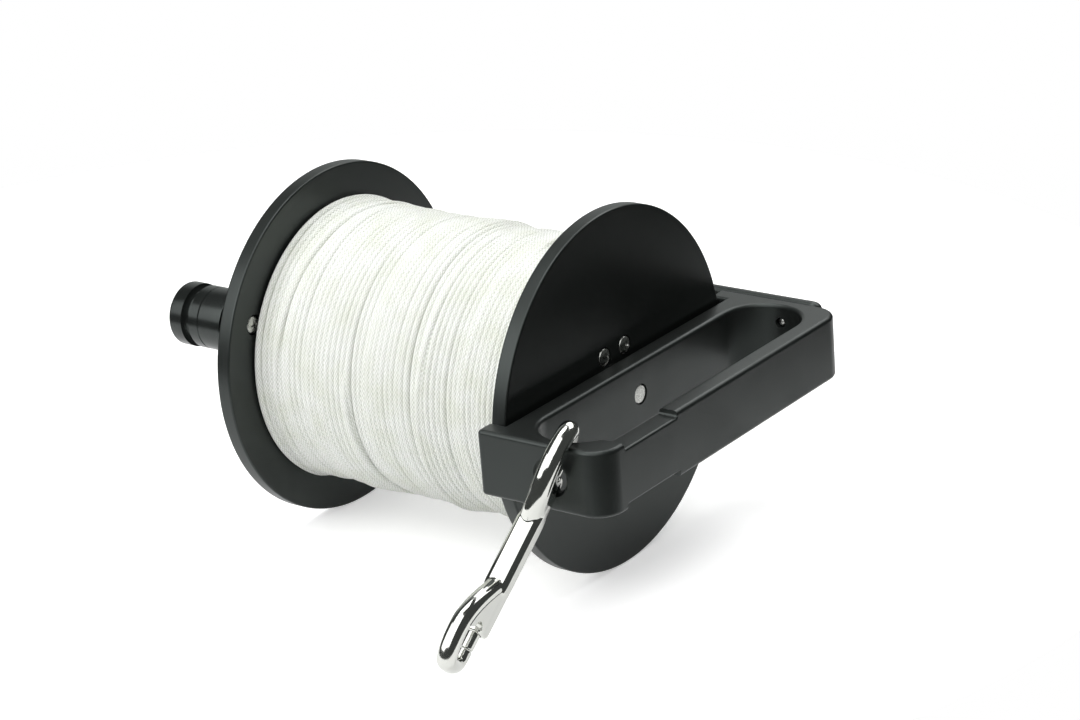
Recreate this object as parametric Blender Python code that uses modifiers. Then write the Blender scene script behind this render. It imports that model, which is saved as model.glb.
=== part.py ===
"""Dive reel: a wide spool of braided line on a fixed axle, carried by a frame with a finger slot.

Metres, +Z up. The origin is the middle of the frame's grip face. +X looks from the spool
towards that face along the spool's axis, and +Y looks from the snap towards the guide arm.
"""

import math

import bmesh
import bpy
import numpy as np
from mathutils import Matrix

# Clearances
seat_gap = 0.0003
overrun = 0.002
merge_distance = 0.00001

# Spool
flange_radius = 0.065
flange_thickness = 0.0058
flange_edge_round = 0.0009
flange_facets = 40
spool_width = 0.1166
tube_radius = 0.020

# Axle, bushes and washers
axle_radius = 0.004
axle_tip_radius = 0.0032
axle_tip_recess = 0.0012
axle_chamfer = 0.0004
bush_wall = 0.003
bush_length = 0.016
spacer_radius = 0.009
end_washer_radius = 0.010
end_washer_thickness = 0.0012
cap_head_radius = 0.0055
cap_head_height = 0.003
cap_shank_radius = 0.0021
cap_shank_length = 0.012

# Flange screws
flange_screw_count = 8
flange_screw_from_tube_side = 0.0042
flange_screw_first_angle = math.radians(24.5)
flange_screw_head_radius = 0.0032
flange_screw_head_height = 0.0018
flange_screw_proud = 0.0007
flange_screw_shank_radius = 0.0015
flange_screw_shank_length = 0.013

# Line
line_below_rim = 0.0124
line_turns = 22
points_per_turn = 24
turn_gap = 0.0006
flange_margin = 0.0006
end_bend_radius = 0.003
end_bend_points = 3

# Winding knob
knob_from_rim = 0.0118
knob_angle = math.radians(156.6)
knob_length = 0.0236
knob_radius = 0.0113
knob_collar_radius = 0.0115
knob_collar_width = 0.006
knob_groove_width = 0.0036
knob_groove_depth = 0.0024
knob_edge_round = 0.0008
knob_line_distance = 0.004
knob_line_depth = 0.0004
spindle_radius = 0.004
spindle_head_radius = 0.007
spindle_head_height = 0.0025
spindle_head_recess = 0.0008
knob_washer_radius = 0.008
knob_washer_thickness = 0.0008
knob_screw_head_radius = 0.0033
knob_screw_head_height = 0.0018
knob_screw_proud = 0.0001
knob_screw_recess_radius = 0.0042
knob_screw_shank_radius = 0.0018
knob_screw_shank_length = 0.014

# Frame
ear_width = 0.0076
frame_height = 0.0235
frame_corner_radius = 0.0093
frame_edge_round = 0.0015
grip_wall = 0.0075
slot_width = 0.0295
end_wall = 0.0053
bar_thickness = 0.0079
ear_depth = 0.0065
notch_clearance = 0.001
flange_face_gap = 0.0017
thumb_from_end = 0.0118
thumb_length = 0.0308
thumb_depth = 0.0021
snap_hole_radius = 0.0058
snap_hole_flare = 0.001
snap_beam_height = 0.00595

# Guide arm
arm_thickness = 0.0048
arm_edge_round = 0.0021
arm_corner_radius = 0.004
arm_inset = 0.0106
arm_straight_past_flange = 0.012
arm_eye_radius = 0.005
arm_eye_wall = 0.0045
guide_screw_inset = 0.0231
guide_screw_half_spacing = 0.005
guide_screw_head_radius = 0.0035
guide_screw_head_height = 0.0022
guide_screw_shank_radius = 0.0016

# Snap
snap_half_length = 0.046
snap_lean = math.radians(42.0)
snap_yaw = math.radians(3.4)
snap_twist = math.radians(13.7)
body_half_width = 0.0041
body_half_depth = 0.0034
body_half_length = 0.012
housing_radius = 0.0036
housing_from_tip = 0.0167
housing_taper = 0.003
hook_rod_radius = 0.0033
hook_nose_radius = 0.0023
hook_reach = 0.0136
hook_widest_from_tip = 0.014
hook_web_half_thickness = 0.0030
nose_from_tip = 0.0107
gate_radius = 0.00225
gate_inner_end = 0.0145
gate_travel = 0.006
stud_position = 0.0188
stud_radius = 0.0016
stud_height = 0.0024
hinge_to_gate = 0.006
hinge_from_tip = 0.0105
gate_bore_end = 0.005
spring_wire_radius = 0.0003
spring_coils = 5

# Stations along the spool's axis, from the grip face towards the knob
slot_outer_x = -grip_wall
slot_inner_x = slot_outer_x - slot_width
slot_middle_x = (slot_outer_x + slot_inner_x) / 2
bar_face_x = slot_inner_x - bar_thickness
ear_face_x = bar_face_x - ear_depth
frame_flange_face_x = bar_face_x - flange_face_gap
frame_flange_inner_x = frame_flange_face_x - flange_thickness
knob_flange_inner_x = frame_flange_inner_x - spool_width
knob_flange_face_x = knob_flange_inner_x - flange_thickness
spool_middle_x = (frame_flange_inner_x + knob_flange_inner_x) / 2
frame_top_z = frame_height / 2
housing_half_length = snap_half_length - housing_from_tip
notch_y = flange_radius + notch_clearance
frame_half_length = notch_y + ear_width
slot_half_length = frame_half_length - end_wall
thumb_start = thumb_from_end - frame_half_length
thumb_end = thumb_start + thumb_length
snap_hole_z = frame_top_z - snap_beam_height - snap_hole_radius
line_radius = flange_radius - line_below_rim
knob_distance = flange_radius - knob_from_rim
flange_screw_circle = tube_radius - flange_screw_from_tube_side
axle_bore_radius = axle_tip_radius + seat_gap
bush_bore_radius = axle_radius + seat_gap
bush_radius = bush_bore_radius + bush_wall
tube_bore_radius = bush_radius + seat_gap

ALONG_X = (0.0, math.pi / 2, 0.0)
ALONG_Y = (-math.pi / 2, 0.0, 0.0)
UPRIGHT = (0.0, 0.0, 0.0)

# Shares of a pan head's height and radius, from its crown to its underside
pan_head_shares = ((0.0, 0.0), (0.0, 0.62), (0.22, 0.88), (0.5, 1.0), (1.0, 1.0))


def clear_scene():
    for old in list(bpy.data.objects):
        bpy.data.objects.remove(old, do_unlink=True)


def collection(name):
    made = bpy.data.collections.new(name)
    bpy.context.scene.collection.children.link(made)
    return made


def finish(name, colour, roughness, metallic):
    made = bpy.data.materials.new(name)
    made.use_nodes = True
    shader = made.node_tree.nodes["Principled BSDF"]
    shader.inputs["Base Color"].default_value = (*colour, 1.0)
    shader.inputs["Roughness"].default_value = roughness
    shader.inputs["Metallic"].default_value = metallic
    return made


clear_scene()
parts = collection("dive_reel")
cutters = collection("cutters")
black_acetal = finish("black_acetal", (0.018, 0.021, 0.020), 0.38, 0.0)
polished_stainless = finish("polished_stainless", (0.62, 0.62, 0.60), 0.12, 1.0)
machined_stainless = finish("machined_stainless", (0.50, 0.50, 0.49), 0.28, 1.0)
white_acetal = finish("white_acetal", (0.75, 0.75, 0.72), 0.45, 0.0)
white_braid = finish("white_braid", (0.86, 0.88, 0.85), 0.75, 0.0)


def empty(name, parent=None, place=(0.0, 0.0, 0.0)):
    made = bpy.data.objects.new(name, None)
    made.parent = parent
    made.location = place
    parts.objects.link(made)
    return made


def shade(mesh):
    mesh.shade_smooth()
    mesh.set_sharp_from_angle(angle=math.radians(35.0))


def put(name, mesh, material, parent=None, place=(0.0, 0.0, 0.0), turn=UPRIGHT):
    """A visible sub-part, or a cutter where there is no material."""
    made = bpy.data.objects.new(name, mesh)
    made.parent = parent
    made.location = place
    made.rotation_euler = turn
    if material is None:
        cutters.objects.link(made)
        made.hide_render = True
        made.display_type = "WIRE"
        return made
    if not mesh.materials:
        mesh.materials.append(material)
    shade(mesh)
    parts.objects.link(made)
    return made


def turned(name, profile, material, parent=None, place=(0.0, 0.0, 0.0), turn=ALONG_X, sides=32):
    """A turned piece. The profile runs down its outer side as (station, radius) pairs.

    It starts and ends on the axis, or closes on itself round a bore.
    """
    mesh = bpy.data.meshes.new(name)
    build = bmesh.new()
    points = [build.verts.new((radius, 0.0, station)) for station, radius in profile]
    for first, second in zip(points, points[1:]):
        build.edges.new((first, second))
    if profile[0][1] > 0.0:
        build.edges.new((points[-1], points[0]))
    build.to_mesh(mesh)
    build.free()
    made = put(name, mesh, material, parent, place, turn)
    screw = made.modifiers.new("turning", "SCREW")
    screw.axis = "Z"
    screw.steps = sides
    screw.render_steps = sides
    screw.use_merge_vertices = True
    screw.merge_threshold = merge_distance
    screw.use_smooth_shade = True
    return made


def rod_profile(top, bottom, radius):
    return [(top, 0.0), (top, radius), (bottom, radius), (bottom, 0.0)]


def ring_profile(top, bottom, bore, radius):
    return [(top, bore), (top, radius), (bottom, radius), (bottom, bore)]


def screw_profile(head_radius, head_height, shank_radius, shank_length):
    """A pan-head screw, from the crown of its head at 0 down to the tip of its shank."""
    head = [(-share * head_height, across * head_radius) for share, across in pan_head_shares]
    tip = -head_height - shank_length
    point = shank_radius / 4
    return head + [
        (-head_height, shank_radius),
        (tip + point, shank_radius),
        (tip, shank_radius - point),
        (tip, 0.0),
    ]


def stack(name, rings, material=None, parent=None, place=(0.0, 0.0, 0.0), turn=UPRIGHT):
    """A closed solid through like rings of points, such as a prism or a loft."""
    mesh = bpy.data.meshes.new(name)
    build = bmesh.new()
    loops = []
    for ring in rings:
        points = [build.verts.new(point) for point in ring]
        edges = [build.edges.new((a, b)) for a, b in zip(points, points[1:] + points[:1])]
        loops.append((points, edges))
    for (_, lower), (_, upper) in zip(loops, loops[1:]):
        bmesh.ops.bridge_loops(build, edges=lower + upper)
    build.faces.new(loops[0][0])
    build.faces.new(loops[-1][0])
    bmesh.ops.recalc_face_normals(build, faces=build.faces)
    build.to_mesh(mesh)
    build.free()
    return put(name, mesh, material, parent, place, turn)


def prism(outline, low, high):
    """Two rings of an outline, at a low and a high place along Z."""
    return [[(x, y, level) for x, y in outline] for level in (low, high)]


def arc(centre, radius, start, end, steps):
    """Points round an arc, angles in degrees."""
    angles = np.radians(np.linspace(start, end, steps + 1))
    return [
        (float(centre[0] + radius * math.cos(a)), float(centre[1] + radius * math.sin(a)))
        for a in angles
    ]


def cut(target, cutter):
    tool = target.modifiers.new("cut " + cutter.name, "BOOLEAN")
    tool.operation = "DIFFERENCE"
    tool.solver = "EXACT"
    tool.object = cutter


def join(target, other):
    tool = target.modifiers.new("join " + other.name, "BOOLEAN")
    tool.operation = "UNION"
    tool.solver = "EXACT"
    tool.object = other


def round_edges(target, width, segments, limit=50.0):
    tool = target.modifiers.new("rounded edges", "BEVEL")
    tool.width = width
    tool.segments = segments
    tool.limit_method = "ANGLE"
    tool.angle_limit = math.radians(limit)


def tube_along(name, points, radii, sides_resolution, material=None, parent=None, place=(0.0, 0.0, 0.0)):
    """A capped round tube through points, as a mesh, so that it can be cut or joined."""
    curve = bpy.data.curves.new(name, "CURVE")
    curve.dimensions = "3D"
    curve.bevel_depth = 1.0
    curve.bevel_resolution = sides_resolution
    curve.use_fill_caps = True
    spline = curve.splines.new("POLY")
    spline.points.add(len(points) - 1)
    for knot, point, radius in zip(spline.points, points, radii):
        knot.co = (*point, 1.0)
        knot.radius = radius
    drawn = bpy.data.objects.new(name + "_curve", curve)
    cutters.objects.link(drawn)
    bpy.context.view_layer.update()
    graph = bpy.context.evaluated_depsgraph_get()
    mesh = bpy.data.meshes.new_from_object(drawn.evaluated_get(graph))
    bpy.data.objects.remove(drawn, do_unlink=True)
    bpy.data.curves.remove(curve)
    mesh.name = name
    build = bmesh.new()
    build.from_mesh(mesh)
    bmesh.ops.remove_doubles(build, verts=build.verts, dist=merge_distance)
    bmesh.ops.recalc_face_normals(build, faces=build.faces)
    build.to_mesh(mesh)
    build.free()
    return put(name, mesh, material, parent, place)


# Frame: one milled block with a finger slot, a notch for the flange and a hole for the snap


def frame_outline():
    """Seen from above, anticlockwise from the snap end's spool-side corner."""
    end = frame_half_length
    corner = frame_corner_radius
    outline = [(ear_face_x, -end)]
    outline += arc((-corner, -end + corner), corner, -90.0, 0.0, 8)
    outline += arc((-corner, end - corner), corner, 0.0, 90.0, 8)
    outline += [(ear_face_x, end), (ear_face_x, notch_y), (bar_face_x, notch_y)]
    outline += [(bar_face_x, -notch_y), (ear_face_x, -notch_y)]
    return outline


def slot_outline(growth):
    """The finger slot's round-ended outline, grown outwards at its rounded rims."""
    radius = slot_width / 2
    straight = slot_half_length - radius
    outline = arc((slot_middle_x, straight), radius + growth, 0.0, 180.0, 14)
    outline += arc((slot_middle_x, -straight), radius + growth, 180.0, 360.0, 14)
    return outline


def slot_rings():
    """The slot's cutter flares at both rims, which leaves them rounded."""
    rim = [
        (frame_edge_round * (1 - math.cos(a)), frame_top_z - frame_edge_round * (1 - math.sin(a)))
        for a in np.radians((0.0, 30.0, 60.0, 90.0))
    ]
    rim.append((frame_edge_round, frame_top_z + overrun))
    levels = [(growth, -height) for growth, height in reversed(rim)] + rim
    return [[(x, y, height) for x, y in slot_outline(growth)] for growth, height in levels]


def thumb_outline():
    """Side view of the shallow thumb recess in the grip wall's edge, as (y, z)."""
    floor = frame_top_z - thumb_depth
    fillet = thumb_depth / 2
    high = frame_top_z + overrun
    outline = [(thumb_start, high)]
    outline += arc((thumb_start + fillet, floor + fillet), fillet, 180.0, 270.0, 3)
    outline += arc((thumb_end - fillet, floor + fillet), fillet, 270.0, 360.0, 3)
    outline.append((thumb_end, high))
    return outline


frame = stack("frame", prism(frame_outline(), -frame_top_z, frame_top_z), black_acetal)
round_edges(frame, frame_edge_round, 2)
cut(frame, stack("slot_cutter", slot_rings()))

for side, name in ((1, "top"), (-1, "bottom")):
    thumb_inner_x = slot_middle_x
    rings = [
        [(x, y, side * z) for y, z in thumb_outline()] for x in (thumb_inner_x, overrun)
    ]
    cut(frame, stack("thumb_cutter_" + name, rings))

snap_hole_x = slot_middle_x
wall_inner_y = -slot_half_length
wall_outer_y = -frame_half_length
hole_profile = [
    (wall_inner_y + overrun, 0.0),
    (wall_inner_y + overrun, snap_hole_radius + snap_hole_flare),
    (wall_inner_y, snap_hole_radius + snap_hole_flare),
    (wall_inner_y - snap_hole_flare, snap_hole_radius),
    (wall_outer_y + snap_hole_flare, snap_hole_radius),
    (wall_outer_y, snap_hole_radius + snap_hole_flare),
    (wall_outer_y - overrun, snap_hole_radius + snap_hole_flare),
    (wall_outer_y - overrun, 0.0),
]
cut(frame, turned("snap_hole_cutter", hole_profile, None, place=(snap_hole_x, 0.0, snap_hole_z), turn=ALONG_Y, sides=20))

axle_hole = rod_profile(slot_inner_x + overrun, bar_face_x - overrun, axle_bore_radius)
cut(frame, turned("axle_hole_cutter", axle_hole, None, sides=20))

guide_hole_radius = guide_screw_shank_radius + seat_gap
arm_inner_y = frame_half_length + seat_gap
arm_outer_y = arm_inner_y + arm_thickness
guide_screw_places = {
    "upper": (-guide_screw_inset, 0.0, guide_screw_half_spacing),
    "lower": (-guide_screw_inset, 0.0, -guide_screw_half_spacing),
}
guide_hole = rod_profile(arm_outer_y + overrun, slot_half_length - overrun, guide_hole_radius)
guide_hole_cutters = []
for name, place in guide_screw_places.items():
    cutter = turned("guide_hole_cutter_" + name, guide_hole, None, place=place, turn=ALONG_Y, sides=12)
    guide_hole_cutters.append(cutter)
    cut(frame, cutter)

# Guide arm: a flat plate on the frame's far end that carries the line eye over the spool's middle


def arm_outline():
    """Front view of the arm, as (x, z), anticlockwise from its lower grip-side corner."""
    top = frame_top_z
    corner = arm_corner_radius
    end_x = -arm_inset
    taper_x = frame_flange_inner_x - arm_straight_past_flange
    eye_outer = arm_eye_radius + arm_eye_wall
    outline = arc((end_x - corner, -top + corner), corner, -90.0, 0.0, 4)
    outline += arc((end_x - corner, top - corner), corner, 0.0, 90.0, 4)
    outline.append((taper_x, top))
    outline += arc((spool_middle_x, 0.0), eye_outer, 100.0, 260.0, 10)
    outline.append((taper_x, -top))
    return outline


arm_rings = [[(x, y, z) for x, z in arm_outline()] for y in (arm_inner_y, arm_outer_y)]
guide_arm = stack("guide_arm", arm_rings, black_acetal)
round_edges(guide_arm, arm_edge_round, 2)
eye_profile = rod_profile(arm_outer_y + overrun, arm_inner_y - overrun, arm_eye_radius)
cut(guide_arm, turned("guide_eye_cutter", eye_profile, None, place=(spool_middle_x, 0.0, 0.0), turn=ALONG_Y, sides=20))
for cutter in guide_hole_cutters:
    cut(guide_arm, cutter)

guide_screw_shank_length = arm_outer_y - slot_half_length
guide_screw = screw_profile(
    guide_screw_head_radius,
    guide_screw_head_height,
    guide_screw_shank_radius,
    guide_screw_shank_length,
)
guide_screw_crown_y = arm_outer_y + seat_gap + guide_screw_head_height
for name, (x, _, z) in guide_screw_places.items():
    turned(
        "guide_screw_" + name,
        guide_screw,
        machined_stainless,
        place=(x, guide_screw_crown_y, z),
        turn=ALONG_Y,
        sides=14,
    )

# Axle and what holds it: fixed to the frame's bar, with a capped end past the far flange
axle_end_x = knob_flange_face_x
cap_bore_radius = cap_shank_radius + seat_gap
cap_bore_depth = cap_shank_length + seat_gap
axle_tip_x = slot_inner_x - axle_tip_recess
axle_shoulder_x = bar_face_x - seat_gap
axle_profile = [
    (axle_tip_x, 0.0),
    (axle_tip_x, axle_tip_radius - axle_chamfer),
    (axle_tip_x - axle_chamfer, axle_tip_radius),
    (axle_shoulder_x, axle_tip_radius),
    (axle_shoulder_x, axle_radius),
    (axle_end_x, axle_radius),
    (axle_end_x, cap_bore_radius),
    (axle_end_x + cap_bore_depth, cap_bore_radius),
    (axle_end_x + cap_bore_depth, 0.0),
]
turned("axle", axle_profile, machined_stainless, sides=20)

spacer_profile = ring_profile(
    bar_face_x - seat_gap, frame_flange_face_x + seat_gap, bush_bore_radius, spacer_radius
)
turned("axle_spacer", spacer_profile, white_acetal, sides=20)

end_washer_x = knob_flange_face_x - seat_gap
end_washer_profile = ring_profile(
    end_washer_x, end_washer_x - end_washer_thickness, cap_bore_radius, end_washer_radius
)
turned("axle_end_washer", end_washer_profile, machined_stainless, sides=24)

cap_seat_x = end_washer_x - end_washer_thickness - seat_gap
cap_round = cap_head_height / 4
cap_profile = [
    (cap_seat_x + cap_shank_length, 0.0),
    (cap_seat_x + cap_shank_length, cap_shank_radius),
    (cap_seat_x, cap_shank_radius),
    (cap_seat_x, cap_head_radius),
    (cap_seat_x - cap_head_height + cap_round, cap_head_radius),
    (cap_seat_x - cap_head_height, cap_head_radius - cap_round),
    (cap_seat_x - cap_head_height, 0.0),
]
turned("axle_cap_screw", cap_profile, machined_stainless, sides=20)

# Spool: two flanges screwed to a tube that runs on two bushes
spool_axis = empty("spool_axis")

tube_profile = ring_profile(
    frame_flange_inner_x - seat_gap, knob_flange_inner_x + seat_gap, tube_bore_radius, tube_radius
)
spool_tube = turned("spool_tube", tube_profile, black_acetal, spool_axis, sides=32)

bush_stations = {
    "frame_side_bush": (frame_flange_face_x - seat_gap, frame_flange_face_x - bush_length),
    "knob_side_bush": (knob_flange_face_x + bush_length, knob_flange_face_x + seat_gap),
}
for name, (top, bottom) in bush_stations.items():
    profile = ring_profile(top, bottom, bush_bore_radius, bush_radius)
    turned(name, profile, white_acetal, spool_axis, sides=20)


def flange(name, outer_face_x, inner_face_x):
    """A disc with rounded edges and a bore. One of its facets lies flat at the very bottom."""
    middle_x = (outer_face_x + inner_face_x) / 2
    mesh = bpy.data.meshes.new(name)
    build = bmesh.new()
    bmesh.ops.create_cone(
        build,
        cap_ends=True,
        segments=flange_facets,
        radius1=flange_radius,
        radius2=flange_radius,
        depth=flange_thickness,
    )
    turn_to_facet = Matrix.Rotation(math.pi / flange_facets, 4, "Z")
    bmesh.ops.transform(build, matrix=turn_to_facet, verts=build.verts)
    build.to_mesh(mesh)
    build.free()
    made = put(name, mesh, black_acetal, spool_axis, (middle_x, 0.0, 0.0), ALONG_X)
    round_edges(made, flange_edge_round, 2)
    bore = rod_profile(
        frame_flange_face_x + overrun, knob_flange_face_x - overrun, tube_bore_radius
    )
    cut(made, turned(name + "_bore_cutter", bore, None, sides=20))
    return made


frame_side_flange = flange("frame_side_flange", frame_flange_face_x, frame_flange_inner_x)
knob_side_flange = flange("knob_side_flange", knob_flange_face_x, knob_flange_inner_x)

flange_screw = screw_profile(
    flange_screw_head_radius,
    flange_screw_head_height,
    flange_screw_shank_radius,
    flange_screw_shank_length,
)
screw_seat_depth = flange_screw_head_height - flange_screw_proud + seat_gap
screw_hole_depth = flange_screw_head_height - flange_screw_proud + flange_screw_shank_length + seat_gap
screw_clear_radius = flange_screw_shank_radius + seat_gap
screw_seat_radius = flange_screw_head_radius + seat_gap
screw_hole_profile = [
    (overrun, 0.0),
    (overrun, screw_seat_radius),
    (-screw_seat_depth, screw_seat_radius),
    (-screw_seat_depth, screw_clear_radius),
    (-screw_hole_depth, screw_clear_radius),
    (-screw_hole_depth, 0.0),
]
# The screws of the far flange point the other way, so that side is turned half round
flange_sides = (
    ("frame_flange_screw", frame_side_flange, frame_flange_face_x, 1, ALONG_X),
    ("knob_flange_screw", knob_side_flange, knob_flange_face_x, -1, (0.0, -math.pi / 2, 0.0)),
)
for prefix, carrier, face_x, outward, turn in flange_sides:
    for number in range(flange_screw_count):
        angle = flange_screw_first_angle + number * math.tau / flange_screw_count
        y = flange_screw_circle * math.cos(angle)
        z = flange_screw_circle * math.sin(angle)
        label = f"{prefix}_{number + 1}"
        hole = turned(
            label + "_hole_cutter", screw_hole_profile, None, spool_axis, (face_x, y, z), turn, 10
        )
        cut(carrier, hole)
        cut(spool_tube, hole)
        crown_x = face_x + outward * flange_screw_proud
        turned(label, flange_screw, machined_stainless, spool_axis, (crown_x, y, z), turn, 10)

# Line: the outer layer winds over a plain core, and both its ends tuck into the core
turn_pitch = (spool_width - 2 * flange_margin + turn_gap) / (line_turns + 1)
turn_radius = (turn_pitch - turn_gap) / 2
winding_radius = line_radius - turn_radius
nearest_chord = winding_radius * math.cos(math.pi / points_per_turn)
core_radius = nearest_chord - turn_radius - seat_gap
core_bore_radius = tube_radius + seat_gap
first_turn_x = frame_flange_inner_x - flange_margin - turn_radius
tuck_straight = 2 * turn_radius
start_angle = math.radians(-60.0)


def round_axis(x, radius, angle):
    return (x, radius * math.cos(angle), radius * math.sin(angle))


def tuck(x, angle, heading):
    """A bend from along the turn to straight inwards, then a stretch of one diameter."""
    middle_radius = winding_radius - end_bend_radius
    points = []
    for step in range(1, end_bend_points + 1):
        bend = math.pi / 2 * step / end_bend_points
        along = heading * end_bend_radius * math.sin(bend)
        inwards = middle_radius + end_bend_radius * math.cos(bend)
        points.append((along, inwards))
    points.append((heading * end_bend_radius, middle_radius - tuck_straight))
    across = (-math.sin(angle), math.cos(angle))
    outwards = (math.cos(angle), math.sin(angle))
    return [
        (x, a * across[0] + r * outwards[0], a * across[1] + r * outwards[1]) for a, r in points
    ]


def winding_route():
    steps = line_turns * points_per_turn
    wound = [
        round_axis(
            first_turn_x - turn_pitch * step / points_per_turn,
            winding_radius,
            start_angle + math.tau * step / points_per_turn,
        )
        for step in range(steps + 1)
    ]
    last_x = first_turn_x - turn_pitch * line_turns
    start = tuck(first_turn_x, start_angle, -1)
    end = tuck(last_x, start_angle, 1)
    return list(reversed(start)) + wound + end


def least_gap(points, diameter):
    """The least gap between stretches of the tube that lie at least half a turn apart on it."""
    places = np.array(points)
    apart = points_per_turn // 2
    least = math.inf
    for index in range(len(places) - apart):
        others = places[index + apart :]
        nearest = np.sqrt(((others - places[index]) ** 2).sum(axis=1)).min()
        least = min(least, float(nearest))
    return least - diameter


route = winding_route()
print(f"least gap of the line's turns: {1000 * least_gap(route, 2 * turn_radius):.2f} mm")
tube_along("line_winding", route, [turn_radius] * len(route), 1, white_braid, spool_axis)

core_profile = ring_profile(
    frame_flange_inner_x - seat_gap, knob_flange_inner_x + seat_gap, core_bore_radius, core_radius
)
line_core = turned("line_core", core_profile, white_braid, spool_axis, sides=48)
pocket_half_width = turn_radius + seat_gap
pocket_floor = winding_radius - end_bend_radius - tuck_straight - seat_gap
pocket_far = end_bend_radius + turn_radius + seat_gap
for name, x, heading in (
    ("first", first_turn_x, -1),
    ("last", first_turn_x - turn_pitch * line_turns, 1),
):
    across_sides = sorted((-heading * seat_gap, heading * pocket_far))
    low, high = across_sides
    corners = [(low, pocket_floor), (high, pocket_floor), (high, line_radius), (low, line_radius)]
    rings = []
    for side in (-pocket_half_width, pocket_half_width):
        ring = []
        for across, outwards in corners:
            y = outwards * math.cos(start_angle) - across * math.sin(start_angle)
            z = outwards * math.sin(start_angle) + across * math.cos(start_angle)
            ring.append((x + side, y, z))
        rings.append(ring)
    cut(line_core, stack("pocket_cutter_" + name, rings, None, spool_axis))

# Winding knob: turns on a headed spindle that a screw pulls against the far flange
knob_y = knob_distance * math.cos(knob_angle)
knob_z = knob_distance * math.sin(knob_angle)
knob_axis = empty("knob_axis", spool_axis, (knob_flange_face_x, knob_y, knob_z))

knob_washer_profile = ring_profile(
    -seat_gap, -seat_gap - knob_washer_thickness, spindle_radius + seat_gap, knob_washer_radius
)
turned("knob_washer", knob_washer_profile, machined_stainless, knob_axis, sides=20)

knob_start = -2 * seat_gap - knob_washer_thickness
knob_tip = knob_start - knob_length
collar_edge = knob_tip + knob_collar_width
groove_edge = collar_edge + knob_groove_width
groove_steps = 4
knob_bore_radius = spindle_radius + seat_gap
knob_seat_radius = spindle_head_radius + seat_gap
knob_seat = knob_tip + spindle_head_recess + spindle_head_height + seat_gap
ring_line = groove_edge + knob_line_distance
knob_profile = [
    (knob_start, knob_bore_radius),
    (knob_start, knob_radius - knob_edge_round),
    (knob_start - knob_edge_round, knob_radius),
    (ring_line + knob_line_depth, knob_radius),
    (ring_line, knob_radius - knob_line_depth),
    (ring_line - knob_line_depth, knob_radius),
]
for step in range(groove_steps + 1):
    share = step / groove_steps
    station = groove_edge + (collar_edge - groove_edge) * share
    edge_radius = knob_radius + (knob_collar_radius - knob_radius) * share
    knob_profile.append((station, edge_radius - knob_groove_depth * math.sin(math.pi * share)))
knob_profile += [
    (knob_tip + knob_edge_round, knob_collar_radius),
    (knob_tip, knob_collar_radius - knob_edge_round),
    (knob_tip, knob_seat_radius),
    (knob_seat, knob_seat_radius),
    (knob_seat, knob_bore_radius),
]
turned("winding_knob", knob_profile, black_acetal, knob_axis, sides=32)

knob_screw_bore_radius = knob_screw_shank_radius + seat_gap
spindle_head_top = knob_seat - seat_gap
knob_screw_crown = flange_thickness + knob_screw_proud
knob_screw_tip = knob_screw_crown - knob_screw_head_height - knob_screw_shank_length
spindle_profile = [
    (knob_screw_tip - seat_gap, 0.0),
    (knob_screw_tip - seat_gap, knob_screw_bore_radius),
    (-seat_gap, knob_screw_bore_radius),
    (-seat_gap, spindle_radius),
    (spindle_head_top, spindle_radius),
    (spindle_head_top, spindle_head_radius),
    (spindle_head_top - spindle_head_height, spindle_head_radius),
    (spindle_head_top - spindle_head_height, 0.0),
]
turned("knob_spindle", spindle_profile, machined_stainless, knob_axis, sides=20)

knob_screw = screw_profile(
    knob_screw_head_radius,
    knob_screw_head_height,
    knob_screw_shank_radius,
    knob_screw_shank_length,
)
knob_recess_floor = knob_screw_crown - knob_screw_head_height - seat_gap
knob_hole_profile = [
    (flange_thickness + overrun, 0.0),
    (flange_thickness + overrun, knob_screw_recess_radius),
    (knob_recess_floor, knob_screw_recess_radius),
    (knob_recess_floor, knob_screw_bore_radius),
    (-overrun, knob_screw_bore_radius),
    (-overrun, 0.0),
]
cut(knob_side_flange, turned("knob_hole_cutter", knob_hole_profile, None, knob_axis, sides=20))
turned(
    "knob_screw", knob_screw, machined_stainless, knob_axis, (knob_screw_crown, 0.0, 0.0), sides=14
)

# Snap: a double-ended stainless bolt snap that swings on the frame's end wall
beam_middle_y = (wall_inner_y + wall_outer_y) / 2
beam_middle_z = frame_top_z - snap_beam_height / 2
to_gate = hinge_to_gate * math.sin(snap_twist) + hinge_to_gate * math.sin(snap_yaw)
snap_hinge = empty("snap_hinge", None, (snap_hole_x + to_gate, beam_middle_y, beam_middle_z))
snap_hinge.rotation_mode = "ZYX"
snap_hinge.rotation_euler = (snap_lean - math.pi / 2, snap_yaw, snap_twist)
snap_middle_z = hinge_from_tip - snap_half_length
snap_middle = empty("snap_middle", snap_hinge, (0.0, hinge_to_gate, snap_middle_z))


def oval(along, half_width, half_depth, squareness, sides=16):
    """A cross-section of the snap's bar, from a round (2) to a nearly square one (5)."""
    ring = []
    for index in range(sides):
        angle = math.tau * (index + 0.5) / sides
        c, s = math.cos(angle), math.sin(angle)
        x = half_width * math.copysign(abs(c) ** (2 / squareness), c)
        y = half_depth * math.copysign(abs(s) ** (2 / squareness), s)
        ring.append((x, y, along))
    return ring


def bar_rings():
    """Half of the bar's sections, from its middle outwards, mirrored to the other half."""
    end_radius = housing_radius - housing_taper / 5
    half = [
        (body_half_length, body_half_width, body_half_depth, 5.0),
        (body_half_length + housing_taper, housing_radius, housing_radius, 2.0),
        (housing_half_length - housing_taper / 2, housing_radius, housing_radius, 2.0),
        (housing_half_length, end_radius, end_radius, 2.0),
    ]
    lower = [oval(-along, width, depth, squareness) for along, width, depth, squareness in half]
    upper = [oval(along, width, depth, squareness) for along, width, depth, squareness in half]
    return list(reversed(lower)) + upper


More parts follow.
